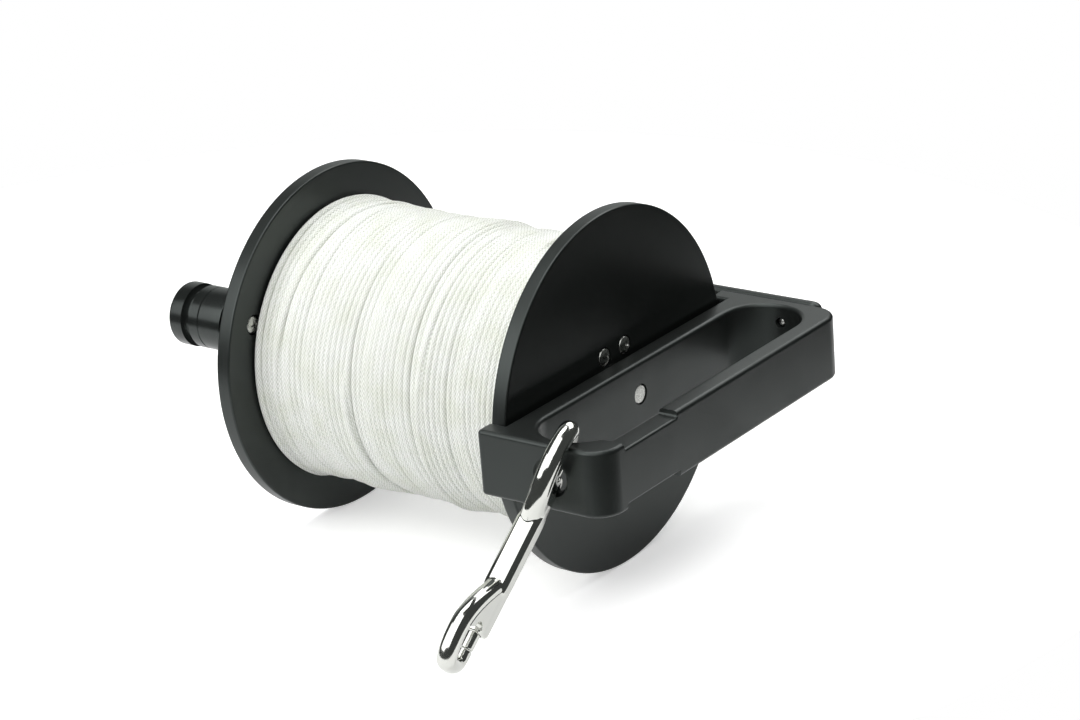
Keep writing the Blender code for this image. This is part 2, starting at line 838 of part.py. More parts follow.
def bezier(points, steps):
    """Points on a cubic curve through the first and last of four points."""
    a, b, c, d = (np.array(point) for point in points)
    shares = np.linspace(0.0, 1.0, steps + 1)[:, None]
    rest = 1.0 - shares
    return rest**3 * a + 3 * shares * rest**2 * b + 3 * shares**2 * rest * c + shares**3 * d


# Shares of the hook's reach and of its widest place's distance that shape its crescent
apex_share = 0.68
round_share = 0.5523
nose_round_share = 0.74
shoulder_handle_share = 0.5
outer_handle_share = 0.42
nose_straight_share = 0.12


def hook_centreline():
    """From the nose, round the tip and down the spine into the bar, as (across, along).

    Across is measured from the gate's axis towards the spine, along from the snap's middle.
    """
    nose = snap_half_length - nose_from_tip
    nose_top = nose + nose_from_tip * nose_straight_share
    apex = snap_half_length - hook_rod_radius
    widest = snap_half_length - hook_widest_from_tip
    apex_across = apex_share * hook_reach
    rise = apex - nose_top
    inner = bezier(
        (
            (0.0, nose_top),
            (0.0, nose_top + rise * nose_round_share),
            (apex_across * (1 - nose_round_share), apex),
            (apex_across, apex),
        ),
        6,
    )
    fall = apex - widest
    outer = bezier(
        (
            (apex_across, apex),
            (apex_across + (hook_reach - apex_across) * round_share, apex),
            (hook_reach, widest + fall * round_share),
            (hook_reach, widest),
        ),
        6,
    )
    spine = bezier(
        (
            (hook_reach, widest),
            (hook_reach, widest - (widest - body_half_length) * outer_handle_share),
            (
                body_half_depth * shoulder_handle_share,
                body_half_length + (widest - body_half_length) * outer_handle_share,
            ),
            (0.0, body_half_length),
        ),
        8,
    )
    return np.vstack(([(0.0, nose)], inner, outer[1:], spine[1:]))


def hook_radii(count):
    """The rod swells from the nose to the tip's apex and keeps its size from there."""
    swell = np.clip(np.arange(count) / 7, 0.0, 1.0)
    return hook_nose_radius + (hook_rod_radius - hook_nose_radius) * swell


def web_outline(centreline):
    """The flat web between bar and spine, which ends in the round throat of the hook."""
    window_low = gate_radius
    window_high = hook_reach - hook_rod_radius
    radius = (window_high - window_low) / 2
    middle = (window_high + window_low) / 2
    throat = housing_half_length - housing_taper + radius
    spine = [tuple(point) for point in centreline[::-1] if point[1] < throat]
    arc_points = [
        (middle + radius * math.sin(a), throat - radius * math.cos(a))
        for a in np.radians(np.linspace(75.0, -45.0, 7))
    ]
    return spine + arc_points + [(0.0, housing_half_length - housing_taper)]


snap_body = stack("snap_body", bar_rings(), polished_stainless, snap_middle)
centreline = hook_centreline()
radii = list(hook_radii(len(centreline)))
gate_bore_radius = gate_radius + seat_gap
slot_half_width = stud_radius + seat_gap
for name, side in (("upper", 1), ("lower", -1)):
    route = [(0.0, -across, side * along) for across, along in centreline]
    hook = tube_along(name + "_hook_shape", route, radii, 3, None, snap_middle)
    join(snap_body, hook)
    outline = [(-across, side * along) for across, along in web_outline(centreline)]
    web_rings = [
        [(x, y, z) for y, z in outline] for x in (-hook_web_half_thickness, hook_web_half_thickness)
    ]
    join(snap_body, stack(name + "_web_shape", web_rings, None, snap_middle))
for name, side in (("upper", 1), ("lower", -1)):
    ends = sorted((side * (housing_half_length + overrun), side * gate_bore_end))
    bore = rod_profile(ends[1], ends[0], gate_bore_radius)
    cut(snap_body, turned(name + "_gate_bore_cutter", bore, None, snap_middle, turn=UPRIGHT, sides=14))
    slot_top = stud_position + stud_radius + seat_gap
    slot_bottom = stud_position - gate_travel - stud_radius - seat_gap
    slot_rings_local = [
        [
            (-slot_half_width, y, side * slot_bottom),
            (slot_half_width, y, side * slot_bottom),
            (slot_half_width, y, side * slot_top),
            (-slot_half_width, y, side * slot_top),
        ]
        for y in (0.0, body_half_depth + overrun)
    ]
    cut(snap_body, stack(name + "_stud_slot_cutter", slot_rings_local, None, snap_middle))

    gate_axis = empty(name + "_gate_axis", snap_middle)
    gate_tip = snap_half_length - nose_from_tip - seat_gap
    ends = sorted((side * gate_tip, side * gate_inner_end))
    gate = turned(
        name + "_gate",
        rod_profile(ends[1], ends[0], gate_radius),
        polished_stainless,
        gate_axis,
        turn=UPRIGHT,
        sides=14,
    )
    stud_top = body_half_depth + stud_height
    stud_round = stud_radius / 3
    stud_profile = [
        (stud_top, 0.0),
        (stud_top, stud_radius - stud_round),
        (stud_top - stud_round, stud_radius),
        (0.0, stud_radius),
        (0.0, 0.0),
    ]
    stud = turned(
        name + "_stud_shape",
        stud_profile,
        None,
        gate_axis,
        (0.0, 0.0, side * stud_position),
        ALONG_Y,
        12,
    )
    join(gate, stud)

    spring_length = gate_inner_end - gate_bore_end - 2 * seat_gap - 2 * spring_wire_radius
    spring_radius = gate_radius - 2 * spring_wire_radius
    steps = spring_coils * 10
    coil = []
    for step in range(steps + 1):
        angle = math.tau * step / 10
        along = gate_bore_end + seat_gap + spring_wire_radius + spring_length * step / steps
        coil.append((spring_radius * math.cos(angle), spring_radius * math.sin(angle), side * along))
    tube_along(
        name + "_gate_spring",
        coil,
        [spring_wire_radius] * len(coil),
        1,
        machined_stainless,
        snap_middle,
    )
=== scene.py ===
"""A guide-line dive reel on a white table. The sections follow the reel as it is put together."""

import math

import bmesh
import bpy
import numpy as np
from mathutils import Euler, Matrix, Vector


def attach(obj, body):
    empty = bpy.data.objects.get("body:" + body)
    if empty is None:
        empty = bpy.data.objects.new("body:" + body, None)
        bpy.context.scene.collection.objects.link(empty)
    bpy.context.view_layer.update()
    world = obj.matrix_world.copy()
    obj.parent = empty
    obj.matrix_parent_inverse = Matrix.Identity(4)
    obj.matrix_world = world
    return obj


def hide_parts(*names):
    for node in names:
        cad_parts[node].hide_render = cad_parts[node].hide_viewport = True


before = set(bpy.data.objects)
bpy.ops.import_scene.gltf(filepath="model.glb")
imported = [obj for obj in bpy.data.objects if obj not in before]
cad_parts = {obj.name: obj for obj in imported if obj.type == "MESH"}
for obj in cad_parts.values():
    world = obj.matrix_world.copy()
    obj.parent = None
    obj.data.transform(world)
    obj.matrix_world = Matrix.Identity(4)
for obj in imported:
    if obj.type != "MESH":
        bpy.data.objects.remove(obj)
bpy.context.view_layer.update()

# The camera: a long lens above the snap's end of the reel, from its right, as in the photograph.
# The reel's frame is level here, so the camera carries the few degrees of roll.

camera_place = (0.56170, -0.82091, 0.40581)
camera_azimuth, camera_elevation, camera_roll = 38.01, 21.02, -4.61

camera_data = bpy.data.cameras.new("camera")
camera_data.sensor_width = 36.0
camera_data.lens = 105.606
camera_data.clip_start = 0.05
camera_data.clip_end = 20.0
camera = bpy.data.objects.new("camera", camera_data)
camera.matrix_world = Matrix.Translation(camera_place)
for angle, axis in ((camera_azimuth, "Z"), (90.0 - camera_elevation, "X"), (camera_roll, "Z")):
    camera.matrix_world = camera.matrix_world @ Matrix.Rotation(math.radians(angle), 4, axis)
bpy.context.scene.collection.objects.link(camera)
bpy.context.scene.camera = camera

# The frame: one block of black acetal, milled with a finger slot for the hand, a notch that the
# flange turns in, shallow thumb recesses and a hole for the snap. Its edges are rounded.

half_length, half_height = 0.0736, 0.01175
corner_radius, edge_round = 0.0093, 0.0015
ear_face, bar_face, notch_half = -0.0514, -0.0449, 0.066
slot_outer, slot_inner, slot_half = -0.0075, -0.0370, 0.0683
slot_middle = (slot_outer + slot_inner) / 2
slot_radius = (slot_outer - slot_inner) / 2
slot_straight = slot_half - slot_radius
thumb_from, thumb_to, thumb_depth = -0.0618, -0.0310, 0.0021
thumb_round, thumb_corner = 0.0009, 0.0011
snap_hole_radius, snap_hole_flare = 0.0058, 0.0011
flare_radius = snap_hole_radius + 0.001
cone_reach, cone_radius = 0.004, snap_hole_radius + 0.005
axle_hole_radius = 0.0037
arm_screw_x, arm_screw_z, arm_screw_hole = -0.0231, 0.005, 0.0019
overshoot = 0.002  # how far a cutting shape stands out of the face that it cuts
x_to_y = Matrix.Rotation(math.pi / 2, 4, "Z")
noise, maths, ramp = "ShaderNodeTexNoise", "ShaderNodeMath", "ShaderNodeValToRGB"


def linear(hex_colour):
    """An sRGB hex colour as Blender's linear colour."""
    parts = [int(hex_colour[i : i + 2], 16) / 255 for i in (1, 3, 5)]
    return (*[c / 12.92 if c <= 0.04045 else ((c + 0.055) / 1.055) ** 2.4 for c in parts], 1.0)


def feed(tree, node, inputs):
    """Gives each input its value, or a link from a socket or from a node's first output."""
    for name, value in inputs.items():
        if isinstance(value, bpy.types.Node):
            value = value.outputs[0]
        if isinstance(value, bpy.types.NodeSocket):
            tree.links.new(value, node.inputs[name])
        else:
            node.inputs[name].default_value = value


def add_node(tree, kind, inputs=None, stops=(), **settings):
    """A node with its settings, its inputs and a colour ramp's (position, colour) stops."""
    node = tree.nodes.new(kind)
    for name, value in settings.items():
        setattr(node, name, value)
    for number, (position, colour) in enumerate(stops):
        node.color_ramp.elements[number].position = position
        node.color_ramp.elements[number].color = linear(colour)
    feed(tree, node, inputs or {})
    return node


def new_material(name, colour, roughness, metallic=0.0):
    """A material, its tree, its Principled shader and the place on the piece, in metres."""
    material = bpy.data.materials.new(name)
    material.use_nodes = True
    tree = material.node_tree
    shader = tree.nodes["Principled BSDF"]
    feed(tree, shader, {"Base Color": linear(colour), "Roughness": roughness, "Metallic": metallic})
    return material, tree, shader, add_node(tree, "ShaderNodeTexCoord").outputs["Object"]


def black_acetal(name, roughness):
    """The start of each black acetal: near black, with faintly green highlights."""
    material, tree, shader, place = new_material(name, "#171918", roughness)
    feed(tree, shader, {"Specular Tint": linear("#f3fffb")})
    return material, tree, shader, place


def set_finish(tree, shader, wear, roughness, height, bump):
    """Roughness that runs between two values with the wear, and (strength, metres) of bump."""
    limits = {"From Min": 0.3, "From Max": 0.7, "To Min": roughness[0], "To Max": roughness[1]}
    rough = add_node(tree, "ShaderNodeMapRange", {"Value": wear, **limits})
    raised = {"Height": height, "Strength": bump[0], "Distance": bump[1]}
    raised = add_node(tree, "ShaderNodeBump", raised)
    feed(tree, shader, {"Roughness": rough, "Normal": raised})


def new_piece(name, mesh, material, sharp_angle=32.0):
    """A shown object at the origin, its place in its mesh."""
    mesh.materials.clear()
    mesh.materials.append(material)
    mesh.shade_smooth()
    if sharp_angle:
        mesh.set_sharp_from_angle(angle=math.radians(sharp_angle))
    piece = bpy.data.objects.new(name, mesh)
    bpy.context.scene.collection.objects.link(piece)
    return piece


def filleted(corners, steps=6):
    """A line through (a, b) corners. Those with a third number are rounded over that cut."""
    line = []
    for index, (a, b, *cut) in enumerate(corners):
        if not cut:
            line.append((a, b))
            continue
        here = Vector((a, b))
        before = Vector(corners[index - 1][:2])
        after = Vector(corners[(index + 1) % len(corners)][:2])
        start = here + (before - here).normalized() * cut[0]
        end = here + (after - here).normalized() * cut[0]
        for step in range(steps + 1):
            t = step / steps
            point = start * (1 - t) ** 2 + here * 2 * t * (1 - t) + end * t**2
            line.append((point.x, point.y))
    return line


def arc(centre, radius, start, end, steps):
    """Points on an arc from one angle to another, in degrees."""
    angles = np.radians(np.linspace(start, end, steps + 1))
    return [(centre[0] + radius * math.cos(a), centre[1] + radius * math.sin(a)) for a in angles]


def quarter(count, first=0.0, last=90.0):
    """The angles of a rounded edge, in radians."""
    return np.radians(np.linspace(first, last, count))


def plain_pin(start, end, radius):
    """The profile of a plain round bar along X, for turned."""
    return [(start, 0.0), (start, radius), (end, radius), (end, 0.0)]


def closed_mesh(name, points, faces):
    """A mesh with its faces turned outwards."""
    mesh = bpy.data.meshes.new(name)
    mesh.from_pydata(points, [], faces)
    build = bmesh.new()
    build.from_mesh(mesh)
    bmesh.ops.recalc_face_normals(build, faces=build.faces)
    build.to_mesh(mesh)
    build.free()
    return mesh


def stacked(name, rings):
    """A closed mesh through rings of points, capped at both ends."""
    count = len(rings[0])
    points = [point for ring in rings for point in ring]
    faces = [list(range(count)), list(range(len(points) - count, len(points)))]
    for low in range(0, len(points) - count, count):
        for i in range(count):
            j = (i + 1) % count
            faces.append([low + i, low + j, low + count + j, low + count + i])
    return closed_mesh(name, points, faces)


def turned(name, profile, centre=(0.0, 0.0), segments=96, closed=False):
    """A piece turned about a line along X through centre, from (x, radius) pairs."""
    points, rings, faces = [], [], []
    for x, radius in profile:
        sides = segments if radius > 1e-7 else 1
        rings.append([len(points) + step for step in range(sides)])
        for step in range(sides):
            angle = math.tau * step / segments
            y = centre[0] + radius * math.cos(angle)
            points.append((x, y, centre[1] + radius * math.sin(angle)))
    for one, other in zip(rings, rings[1:] + rings[: 1 if closed else 0]):
        for step in range(segments):
            after = (step + 1) % segments
            corners = [one[step % len(one)], one[after % len(one)]]
            corners += [other[after % len(other)], other[step % len(other)]]
            unique = list(dict.fromkeys(corners))
            if len(unique) > 2:
                faces.append(unique)
    return closed_mesh(name, points, faces)


def bored_along_y(name, profile, x, z, segments=48):
    """A turned shape about a line along Y, from (y, radius) pairs."""
    mesh = turned(name, profile, segments=segments)
    mesh.transform(Matrix.Translation((x, 0.0, z)) @ x_to_y)
    return mesh


def arm_screw_holes(start, end):
    """The shapes that cut the holes of the arm's two screws, between these places along Y."""
    profile = plain_pin(start, end, arm_screw_hole)
    levels = (arm_screw_z, -arm_screw_z)
    return [bored_along_y("arm_screw_hole", profile, arm_screw_x, z, 32) for z in levels]


def unshown(mesh):
    """An object that isn't rendered, for its modifiers or as a cutting shape."""
    made = bpy.data.objects.new(mesh.name, mesh)
    bpy.context.scene.collection.objects.link(made)
    made.hide_render = True
    return made


def boolean(mesh, others, operation="DIFFERENCE"):
    """The mesh with each of the others cut from it or joined to it, as a new mesh."""
    target = unshown(mesh)
    tools = [unshown(other) for other in others]
    for tool in tools:
        modifier = target.modifiers.new(tool.name, "BOOLEAN")
        modifier.operation = operation
        modifier.solver = "EXACT"
        modifier.object = tool
    return applied(target, tools)


def applied(target, tools=()):
    """The target's evaluated mesh; the target and its tools are removed."""
    bpy.context.view_layer.update()
    graph = bpy.context.evaluated_depsgraph_get()
    result = bpy.data.meshes.new_from_object(target.evaluated_get(graph))
    result.name = target.name
    for old in (target, *tools):
        bpy.data.objects.remove(old, do_unlink=True)
    return result


def bevelled(mesh, width, segments):
    """The mesh with its sharp edges rounded."""
    target = unshown(mesh)
    modifier = target.modifiers.new("rounding", "BEVEL")
    modifier.width = width
    modifier.segments = segments
    modifier.limit_method = "ANGLE"
    modifier.angle_limit = math.radians(50.0)
    return applied(target)


def weight_normals(piece):
    """Flat faces shade flat and the rounded edges between them shade round."""
    modifier = piece.modifiers.new("weighted normals", "WEIGHTED_NORMAL")
    modifier.keep_sharp = True
    modifier.weight = 80


def milled_acetal():
    """Black acetal, milled then tumbled: a satin skin with a grain of about 0.4 mm, and
    slightly glossier patches where hands rub it."""
    grain_size, patch_size = 0.0004, 0.022
    material, tree, shader, place = black_acetal("black acetal, milled and tumbled", 0.36)
    grain = add_node(tree, noise, {"Vector": place, "Scale": 1 / grain_size, "Detail": 3.0})
    patches = add_node(tree, noise, {"Vector": place, "Scale": 1 / patch_size, "Detail": 4.0})
    tint = add_node(tree, ramp, {"Fac": patches}, ((0.3, "#151716"), (0.7, "#1b1d1c")))
    feed(tree, shader, {"Base Color": tint})
    set_finish(tree, shader, patches, (0.31, 0.42), grain, (0.10, 0.0002))
    return material


frame_outline = [(ear_face, -half_length)]
frame_outline += arc((-corner_radius, corner_radius - half_length), corner_radius, -90, 0, 20)
frame_outline += arc((-corner_radius, half_length - corner_radius), corner_radius, 0, 90, 20)
frame_outline += [(ear_face, half_length), (ear_face, notch_half), (bar_face, notch_half)]
frame_outline += [(bar_face, -notch_half), (ear_face, -notch_half)]
block = stacked(
    "frame_block", [[(x, y, z) for x, y in frame_outline] for z in (-half_height, half_height)]
)
block = bevelled(block, edge_round, 5)

rim = [
    (edge_round * (1 - math.cos(a)), half_height - edge_round * (1 - math.sin(a)))
    for a in quarter(8)
]
rim.append((edge_round, half_height + overshoot))
slot_rings = []
for growth, z in [(growth, -z) for growth, z in reversed(rim)] + rim:
    outline = arc((slot_middle, slot_straight), slot_radius + growth, 0, 180, 40)
    outline += arc((slot_middle, -slot_straight), slot_radius + growth, 180, 360, 40)
    slot_rings.append([(x, y, z) for x, y in outline])
frame_cuts = [stacked("finger_slot", slot_rings)]

for side in (1, -1):
    floor_z = half_height - thumb_depth
    outline = [(thumb_from, half_height + overshoot), (thumb_from, floor_z, thumb_corner)]
    outline += [(thumb_to, floor_z, thumb_corner), (thumb_to, half_height + overshoot)]
    outline = filleted(outline)
    turn_down = [(slot_middle, 0.0)]
    turn_down += [
        (thumb_round * (math.sin(a) - 1), thumb_round * (1 - math.cos(a))) for a in quarter(9)
    ]
    turn_down.append((overshoot, thumb_round))
    rings = [[(x, y, side * (z - drop)) for y, z in outline] for x, drop in turn_down]
    frame_cuts.append(stacked("thumb_recess", rings))

hole = [(cone_reach - slot_half, 0.0), (cone_reach - slot_half, cone_radius)]
hole.append((-slot_half, flare_radius, 0.0006))
hole.append((-slot_half - snap_hole_flare, snap_hole_radius, 0.0005))
hole.append((snap_hole_flare - half_length, snap_hole_radius, 0.0005))
hole.append((-half_length, flare_radius, 0.0006))
hole += [(-half_length - cone_reach, cone_radius), (-half_length - cone_reach, 0.0)]
frame_cuts.append(bored_along_y("snap_hole", filleted(hole), slot_middle, 0.0))
profile = plain_pin(slot_inner + overshoot, bar_face - overshoot, axle_hole_radius)
frame_cuts.append(turned("axle_hole", profile, segments=48))
frame_cuts += arm_screw_holes(half_length + overshoot, slot_half - overshoot)

black_milled = milled_acetal()
frame_mesh = boolean(block, frame_cuts)
frame_piece = new_piece("reel_frame", frame_mesh, black_milled)
weight_normals(frame_piece)
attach(frame_piece, "frame_body")
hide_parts("frame")

# The guide arm: a strip of the same acetal, screwed flat on the frame's far end. It carries the
# eye that the line leaves the spool through. Its long edges are fully rounded.

arm_near, arm_far = 0.0739, 0.0787
arm_end, arm_end_cut, arm_round = -0.0106, 0.004, 0.0021
arm_taper, taper_cut, taper_lean = -0.0644, 0.010, 7
eye_x, eye_radius, eye_outer, eye_round = -0.1107, 0.005, 0.0095, 0.0014

arm_corners = [(arm_end, -half_height, arm_end_cut), (arm_end, half_height, arm_end_cut)]
arm_corners.append((arm_taper, half_height, taper_cut))
arm_corners += arc((eye_x, 0.0), eye_outer, 90 + taper_lean, 270 - taper_lean, 40)
arm_corners.append((arm_taper, -half_height, taper_cut))
arm_outline = filleted(arm_corners)
arm_mesh = stacked(
    "guide_arm_plate", [[(x, y, z) for x, z in arm_outline] for y in (arm_near, arm_far)]
)
arm_mesh = bevelled(arm_mesh, arm_round, 6)
mouth = eye_radius + eye_round
eye = [(arm_far + overshoot, 0.0), (arm_far + overshoot, mouth)]
for face, inward, angles in ((arm_far, -1, quarter(7, 90, 0)), (arm_near, 1, quarter(7))):
    eye += [
        (face + inward * eye_round * (1 - math.sin(a)), eye_radius + eye_round * (1 - math.cos(a)))
        for a in angles
    ]
eye += [(arm_near - overshoot, mouth), (arm_near - overshoot, 0.0)]
arm_cuts = [bored_along_y("line_eye", eye, eye_x, 0.0, 64)]
arm_cuts += arm_screw_holes(arm_far + 2 * overshoot, arm_near - 2 * overshoot)
arm_piece = new_piece("line_guide_arm", boolean(arm_mesh, arm_cuts), black_milled)
weight_normals(arm_piece)
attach(arm_piece, "frame_body")
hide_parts("guide_arm")

# The spool's flanges: two discs turned from black acetal bar. Fine rings from the tool stay in
# their faces, and each stands on a small flat at its lowest point.

flange_radius, flange_flat = 0.065, 0.0648
flange_faces = {"frame": (-0.0466, -0.0524), "knob": (-0.1748, -0.1690)}
flange_bore, flange_edge, bore_edge = 0.0076, 0.0008, 0.0003
screw_circle, screw_count, screw_first = 0.0158, 8, math.radians(24.5)
screw_seat_radius, screw_seat_depth = 0.0035, 0.0014
knob_y, knob_z = -0.048824, 0.021128
knob_seat_radius, knob_seat_depth = 0.0038, 0.0021


def lathe_rings(tree, distance, pitch):
    """A wave along this distance, with a crest for each turn of the tool."""
    turns = add_node(tree, maths, {0: distance, 1: math.tau / pitch}, operation="MULTIPLY")
    return add_node(tree, maths, {0: turns}, operation="SINE")


def turned_acetal():
    """Black acetal off the lathe: satin, with rings of about 0.5 mm pitch that catch the
    light, drawn a little coarser than a real tool leaves them so that they show."""
    ring_pitch, grain_size, patch_size = 0.0005, 0.0005, 0.03
    material, tree, shader, place = black_acetal("black acetal, turned", 0.33)
    split = add_node(tree, "ShaderNodeSeparateXYZ", {"Vector": place}).outputs
    flat = add_node(tree, "ShaderNodeCombineXYZ", {"Y": split["Y"], "Z": split["Z"]})
    reach = add_node(tree, "ShaderNodeVectorMath", {0: flat}, operation="LENGTH")
    rings = lathe_rings(tree, reach.outputs["Value"], ring_pitch)
    grain = add_node(tree, noise, {"Vector": place, "Scale": 1 / grain_size, "Detail": 3.0})
    height = add_node(tree, maths, {0: rings, 1: 0.18, 2: grain}, operation="MULTIPLY_ADD")
    patches = add_node(tree, noise, {"Vector": place, "Scale": 1 / patch_size, "Detail": 3.0})
    set_finish(tree, shader, patches, (0.29, 0.38), height, (0.10, 0.0002))
    return material


black_turned = turned_acetal()
for side, (outer, inner) in flange_faces.items():
    outward = 1 if outer > inner else -1
    profile = [(outer, flange_bore, bore_edge), (outer, flange_radius, flange_edge)]
    profile += [(inner, flange_radius, flange_edge), (inner, flange_bore, bore_edge)]
    disc = turned("flange_disc", filleted(profile), segments=240, closed=True)
    for vertex in disc.vertices:
        vertex.co.z = max(vertex.co.z, -flange_flat)
    seats = []
    for number in range(screw_count):
        angle = screw_first + number * math.tau / screw_count
        centre = (screw_circle * math.cos(angle), screw_circle * math.sin(angle))
        top, bottom = outer + outward * overshoot, outer - outward * screw_seat_depth
        seats.append(turned("screw_seat", plain_pin(top, bottom, screw_seat_radius), centre, 40))
    if side == "knob":
        seat = plain_pin(inner + overshoot, inner - knob_seat_depth, knob_seat_radius)
        seats.append(turned("knob_screw_seat", seat, (knob_y, knob_z), 40))
    flange_piece = new_piece(side + "_side_disc", boolean(disc, seats), black_turned)
    weight_normals(flange_piece)
    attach(flange_piece, "spool_body")
    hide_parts(side + "_side_flange")
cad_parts["spool_tube"].data.materials[0] = black_turned

# The axle and its fittings: turned stainless steel. The axle's end shows in the finger slot.
# A washer and a cap screw hold the spool on at the knob side, over white acetal bushes.

axle_tip, axle_tip_radius, axle_step = slot_inner - 0.0004, 0.0034, -0.0452
axle_radius, axle_end = 0.0040, -0.1748
thread_radius, thread_floor = 0.0024, -0.1625
washer_near, washer_far, washer_radius = -0.1751, -0.1763, 0.0100
cap_seat, cap_length, cap_shank_radius = -0.1769, 0.012, 0.0021
cap_radius, cap_height, socket_radius, socket_floor = 0.0055, 0.003, 0.0020, 0.0012


def machined_steel():
    """Stainless steel off the lathe: bright but brushed, with fine rings of 0.3 mm pitch."""
    ring_pitch, grain_size = 0.0003, 0.0006
    material, tree, shader, place = new_material("stainless steel, turned", "#b9bab6", 0.28, 1.0)
    split = add_node(tree, "ShaderNodeSeparateXYZ", {"Vector": place}).outputs
    rings = lathe_rings(tree, split["X"], ring_pitch)
    grain = add_node(tree, noise, {"Vector": place, "Scale": 1 / grain_size, "Detail": 4.0})
    height = add_node(tree, maths, {0: rings, 1: 0.25, 2: grain}, operation="MULTIPLY_ADD")
    set_finish(tree, shader, grain, (0.22, 0.36), height, (0.05, 0.00005))
    return material


def white_plastic():
    """White acetal: moulded, slightly translucent looking, with a soft even sheen and a grain
    of about 0.8 mm, coarser than the real one so that it shows."""
    grain_size = 0.0008
    material, tree, shader, place = new_material("white acetal, moulded", "#e4e4de", 0.42)
    grain = add_node(tree, noise, {"Vector": place, "Scale": 1 / grain_size, "Detail": 2.0})
    raised = {"Height": grain, "Strength": 0.08, "Distance": 0.0001}
    feed(tree, shader, {"Normal": add_node(tree, "ShaderNodeBump", raised)})
    return material


steel_turned = machined_steel()
white_bush = white_plastic()
axle_corners = [
    (axle_tip, 0.0),
    (axle_tip, axle_tip_radius, 0.0004),
    (axle_step, axle_tip_radius),
    (axle_step, axle_radius),
    (axle_end, axle_radius, 0.0003),
    (axle_end, thread_radius),
    (thread_floor, thread_radius),
    (thread_floor, 0.0),
]
cap_corners = [
    (cap_seat + cap_length, 0.0),
    (cap_seat + cap_length, cap_shank_radius),
    (cap_seat, cap_shank_radius),
    (cap_seat, cap_radius, 0.0002),
    (cap_seat - cap_height, cap_radius, 0.0006),
    (cap_seat - cap_height, socket_radius, 0.0002),
    (cap_seat - socket_floor, socket_radius),
    (cap_seat - socket_floor, 0.0),
]
end_washer_corners = [
    (washer_near, thread_radius, 0.0002),
    (washer_near, washer_radius, 0.0003),
    (washer_far, washer_radius, 0.0003),
    (washer_far, thread_radius, 0.0002),
]


def steel_fitting(name, mesh, body, node, sharp_angle=32.0):
    """A turned steel piece that stands for a node and moves with a body."""
    fitting = new_piece(name, mesh, steel_turned, sharp_angle)
    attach(fitting, body)
    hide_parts(node)


for name, corners, closed, node in (
    ("axle_pin", axle_corners, False, "axle"),
    ("axle_cap", cap_corners, False, "axle_cap_screw"),
    ("axle_washer", end_washer_corners, True, "axle_end_washer"),
):
    mesh = turned(name, filleted(corners), segments=64, closed=closed)
    steel_fitting(name, mesh, "frame_body", node)
for node in ("axle_spacer", "frame_side_bush", "knob_side_bush"):
    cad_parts[node].data.materials[0] = white_bush

# The screws: stainless pan heads with a cross recess. Eight hold each flange to the tube, two
# hold the arm, and one pulls the knob's spindle against its flange.

head_radius, head_height, head_stands = 0.0032, 0.0018, 0.0007
cross_reach, cross_width, cross_depth = 0.0017, 0.0006, 0.0013
cross_above, cross_top, cross_floor = 0.001, 1.15, 0.55
arm_screw_crown = 0.0812
screw_sharp = 28.0
outer_sides = ("Frame side", "Knob side")


def cross_head_screw(name, radius, height, shank, length):
    """A screw along X with its crown at 0 and its shank towards minus X."""
    crown = [
        (0.0, 0.0),
        (-height * 0.02, radius * 0.35),
        (-height * 0.14, radius * 0.70),
        (-height * 0.36, radius * 0.92),
        (-height * 0.62, radius),
        (-height, radius),
        (-height, shank),
        (-height - length, shank),
        (-height - length - shank, 0.0),
    ]
    head = turned(name, crown, segments=40)
    scale = radius / head_radius
    cuts = []
    for across, along in ((cross_reach, cross_width / 2), (cross_width / 2, cross_reach)):
        rings = []
        for x, widening in ((cross_above, cross_top), (-cross_depth * scale, cross_floor)):
            y, z = across * scale * widening, along * scale * widening
            rings.append([(x, -y, -z), (x, y, -z), (x, y, z), (x, -y, z)])
        cuts.append(stacked("recess", rings))
    return boolean(head, cuts)


def screw_ring_tree():
    """Places a screw at each point of a ring about X, on both outer faces of the spool."""
    tree = bpy.data.node_groups.new("flange screws", "GeometryNodeTree")
    tree.interface.new_socket("Geometry", in_out="OUTPUT", socket_type="NodeSocketGeometry")
    kinds = {"Screw": "Object", "Count": "Int", "Steel": "Material"}
    for name in ("Screw", "Count", "Circle radius", "First angle", *outer_sides, "Steel"):
        kind = "NodeSocket" + kinds.get(name, "Float")
        tree.interface.new_socket(name, in_out="INPUT", socket_type=kind)
    given = add_node(tree, "NodeGroupInput").outputs
    screw = add_node(tree, "GeometryNodeObjectInfo", {"Object": given["Screw"]}).outputs["Geometry"]
    circle = {"Vertices": given["Count"], "Radius": given["Circle radius"]}
    ring = add_node(tree, "GeometryNodeMeshCircle", circle)
    tilt = {"Geometry": ring, "Rotation": (0.0, -math.pi / 2, 0.0)}
    upright = add_node(tree, "GeometryNodeTransform", tilt)
    joined = add_node(tree, "GeometryNodeJoinGeometry")
    for side, seed, facing in zip(outer_sides, (3, 8), (0.0, math.pi)):
        twist = add_node(tree, "FunctionNodeRandomValue", {"Max": math.pi, "Seed": seed})
        own_turn = {"X": twist.outputs["Value"], "Z": facing}
        own_turn = add_node(tree, "ShaderNodeCombineXYZ", own_turn)
        heads = {"Points": upright, "Instance": screw, "Rotation": own_turn}
        heads = add_node(tree, "GeometryNodeInstanceOnPoints", heads)
        spin = add_node(tree, "ShaderNodeCombineXYZ", {"X": given["First angle"]})
        shift = add_node(tree, "ShaderNodeCombineXYZ", {"X": given[side]})
        move = {"Geometry": heads, "Rotation": spin, "Translation": shift}
        feed(tree, joined, {"Geometry": add_node(tree, "GeometryNodeTransform", move)})
    solid = add_node(tree, "GeometryNodeRealizeInstances", {"Geometry": joined})
    steel = {"Geometry": solid, "Material": given["Steel"]}
    painted = add_node(tree, "GeometryNodeSetMaterial", steel)
    add_node(tree, "NodeGroupOutput", {"Geometry": painted})
    return tree


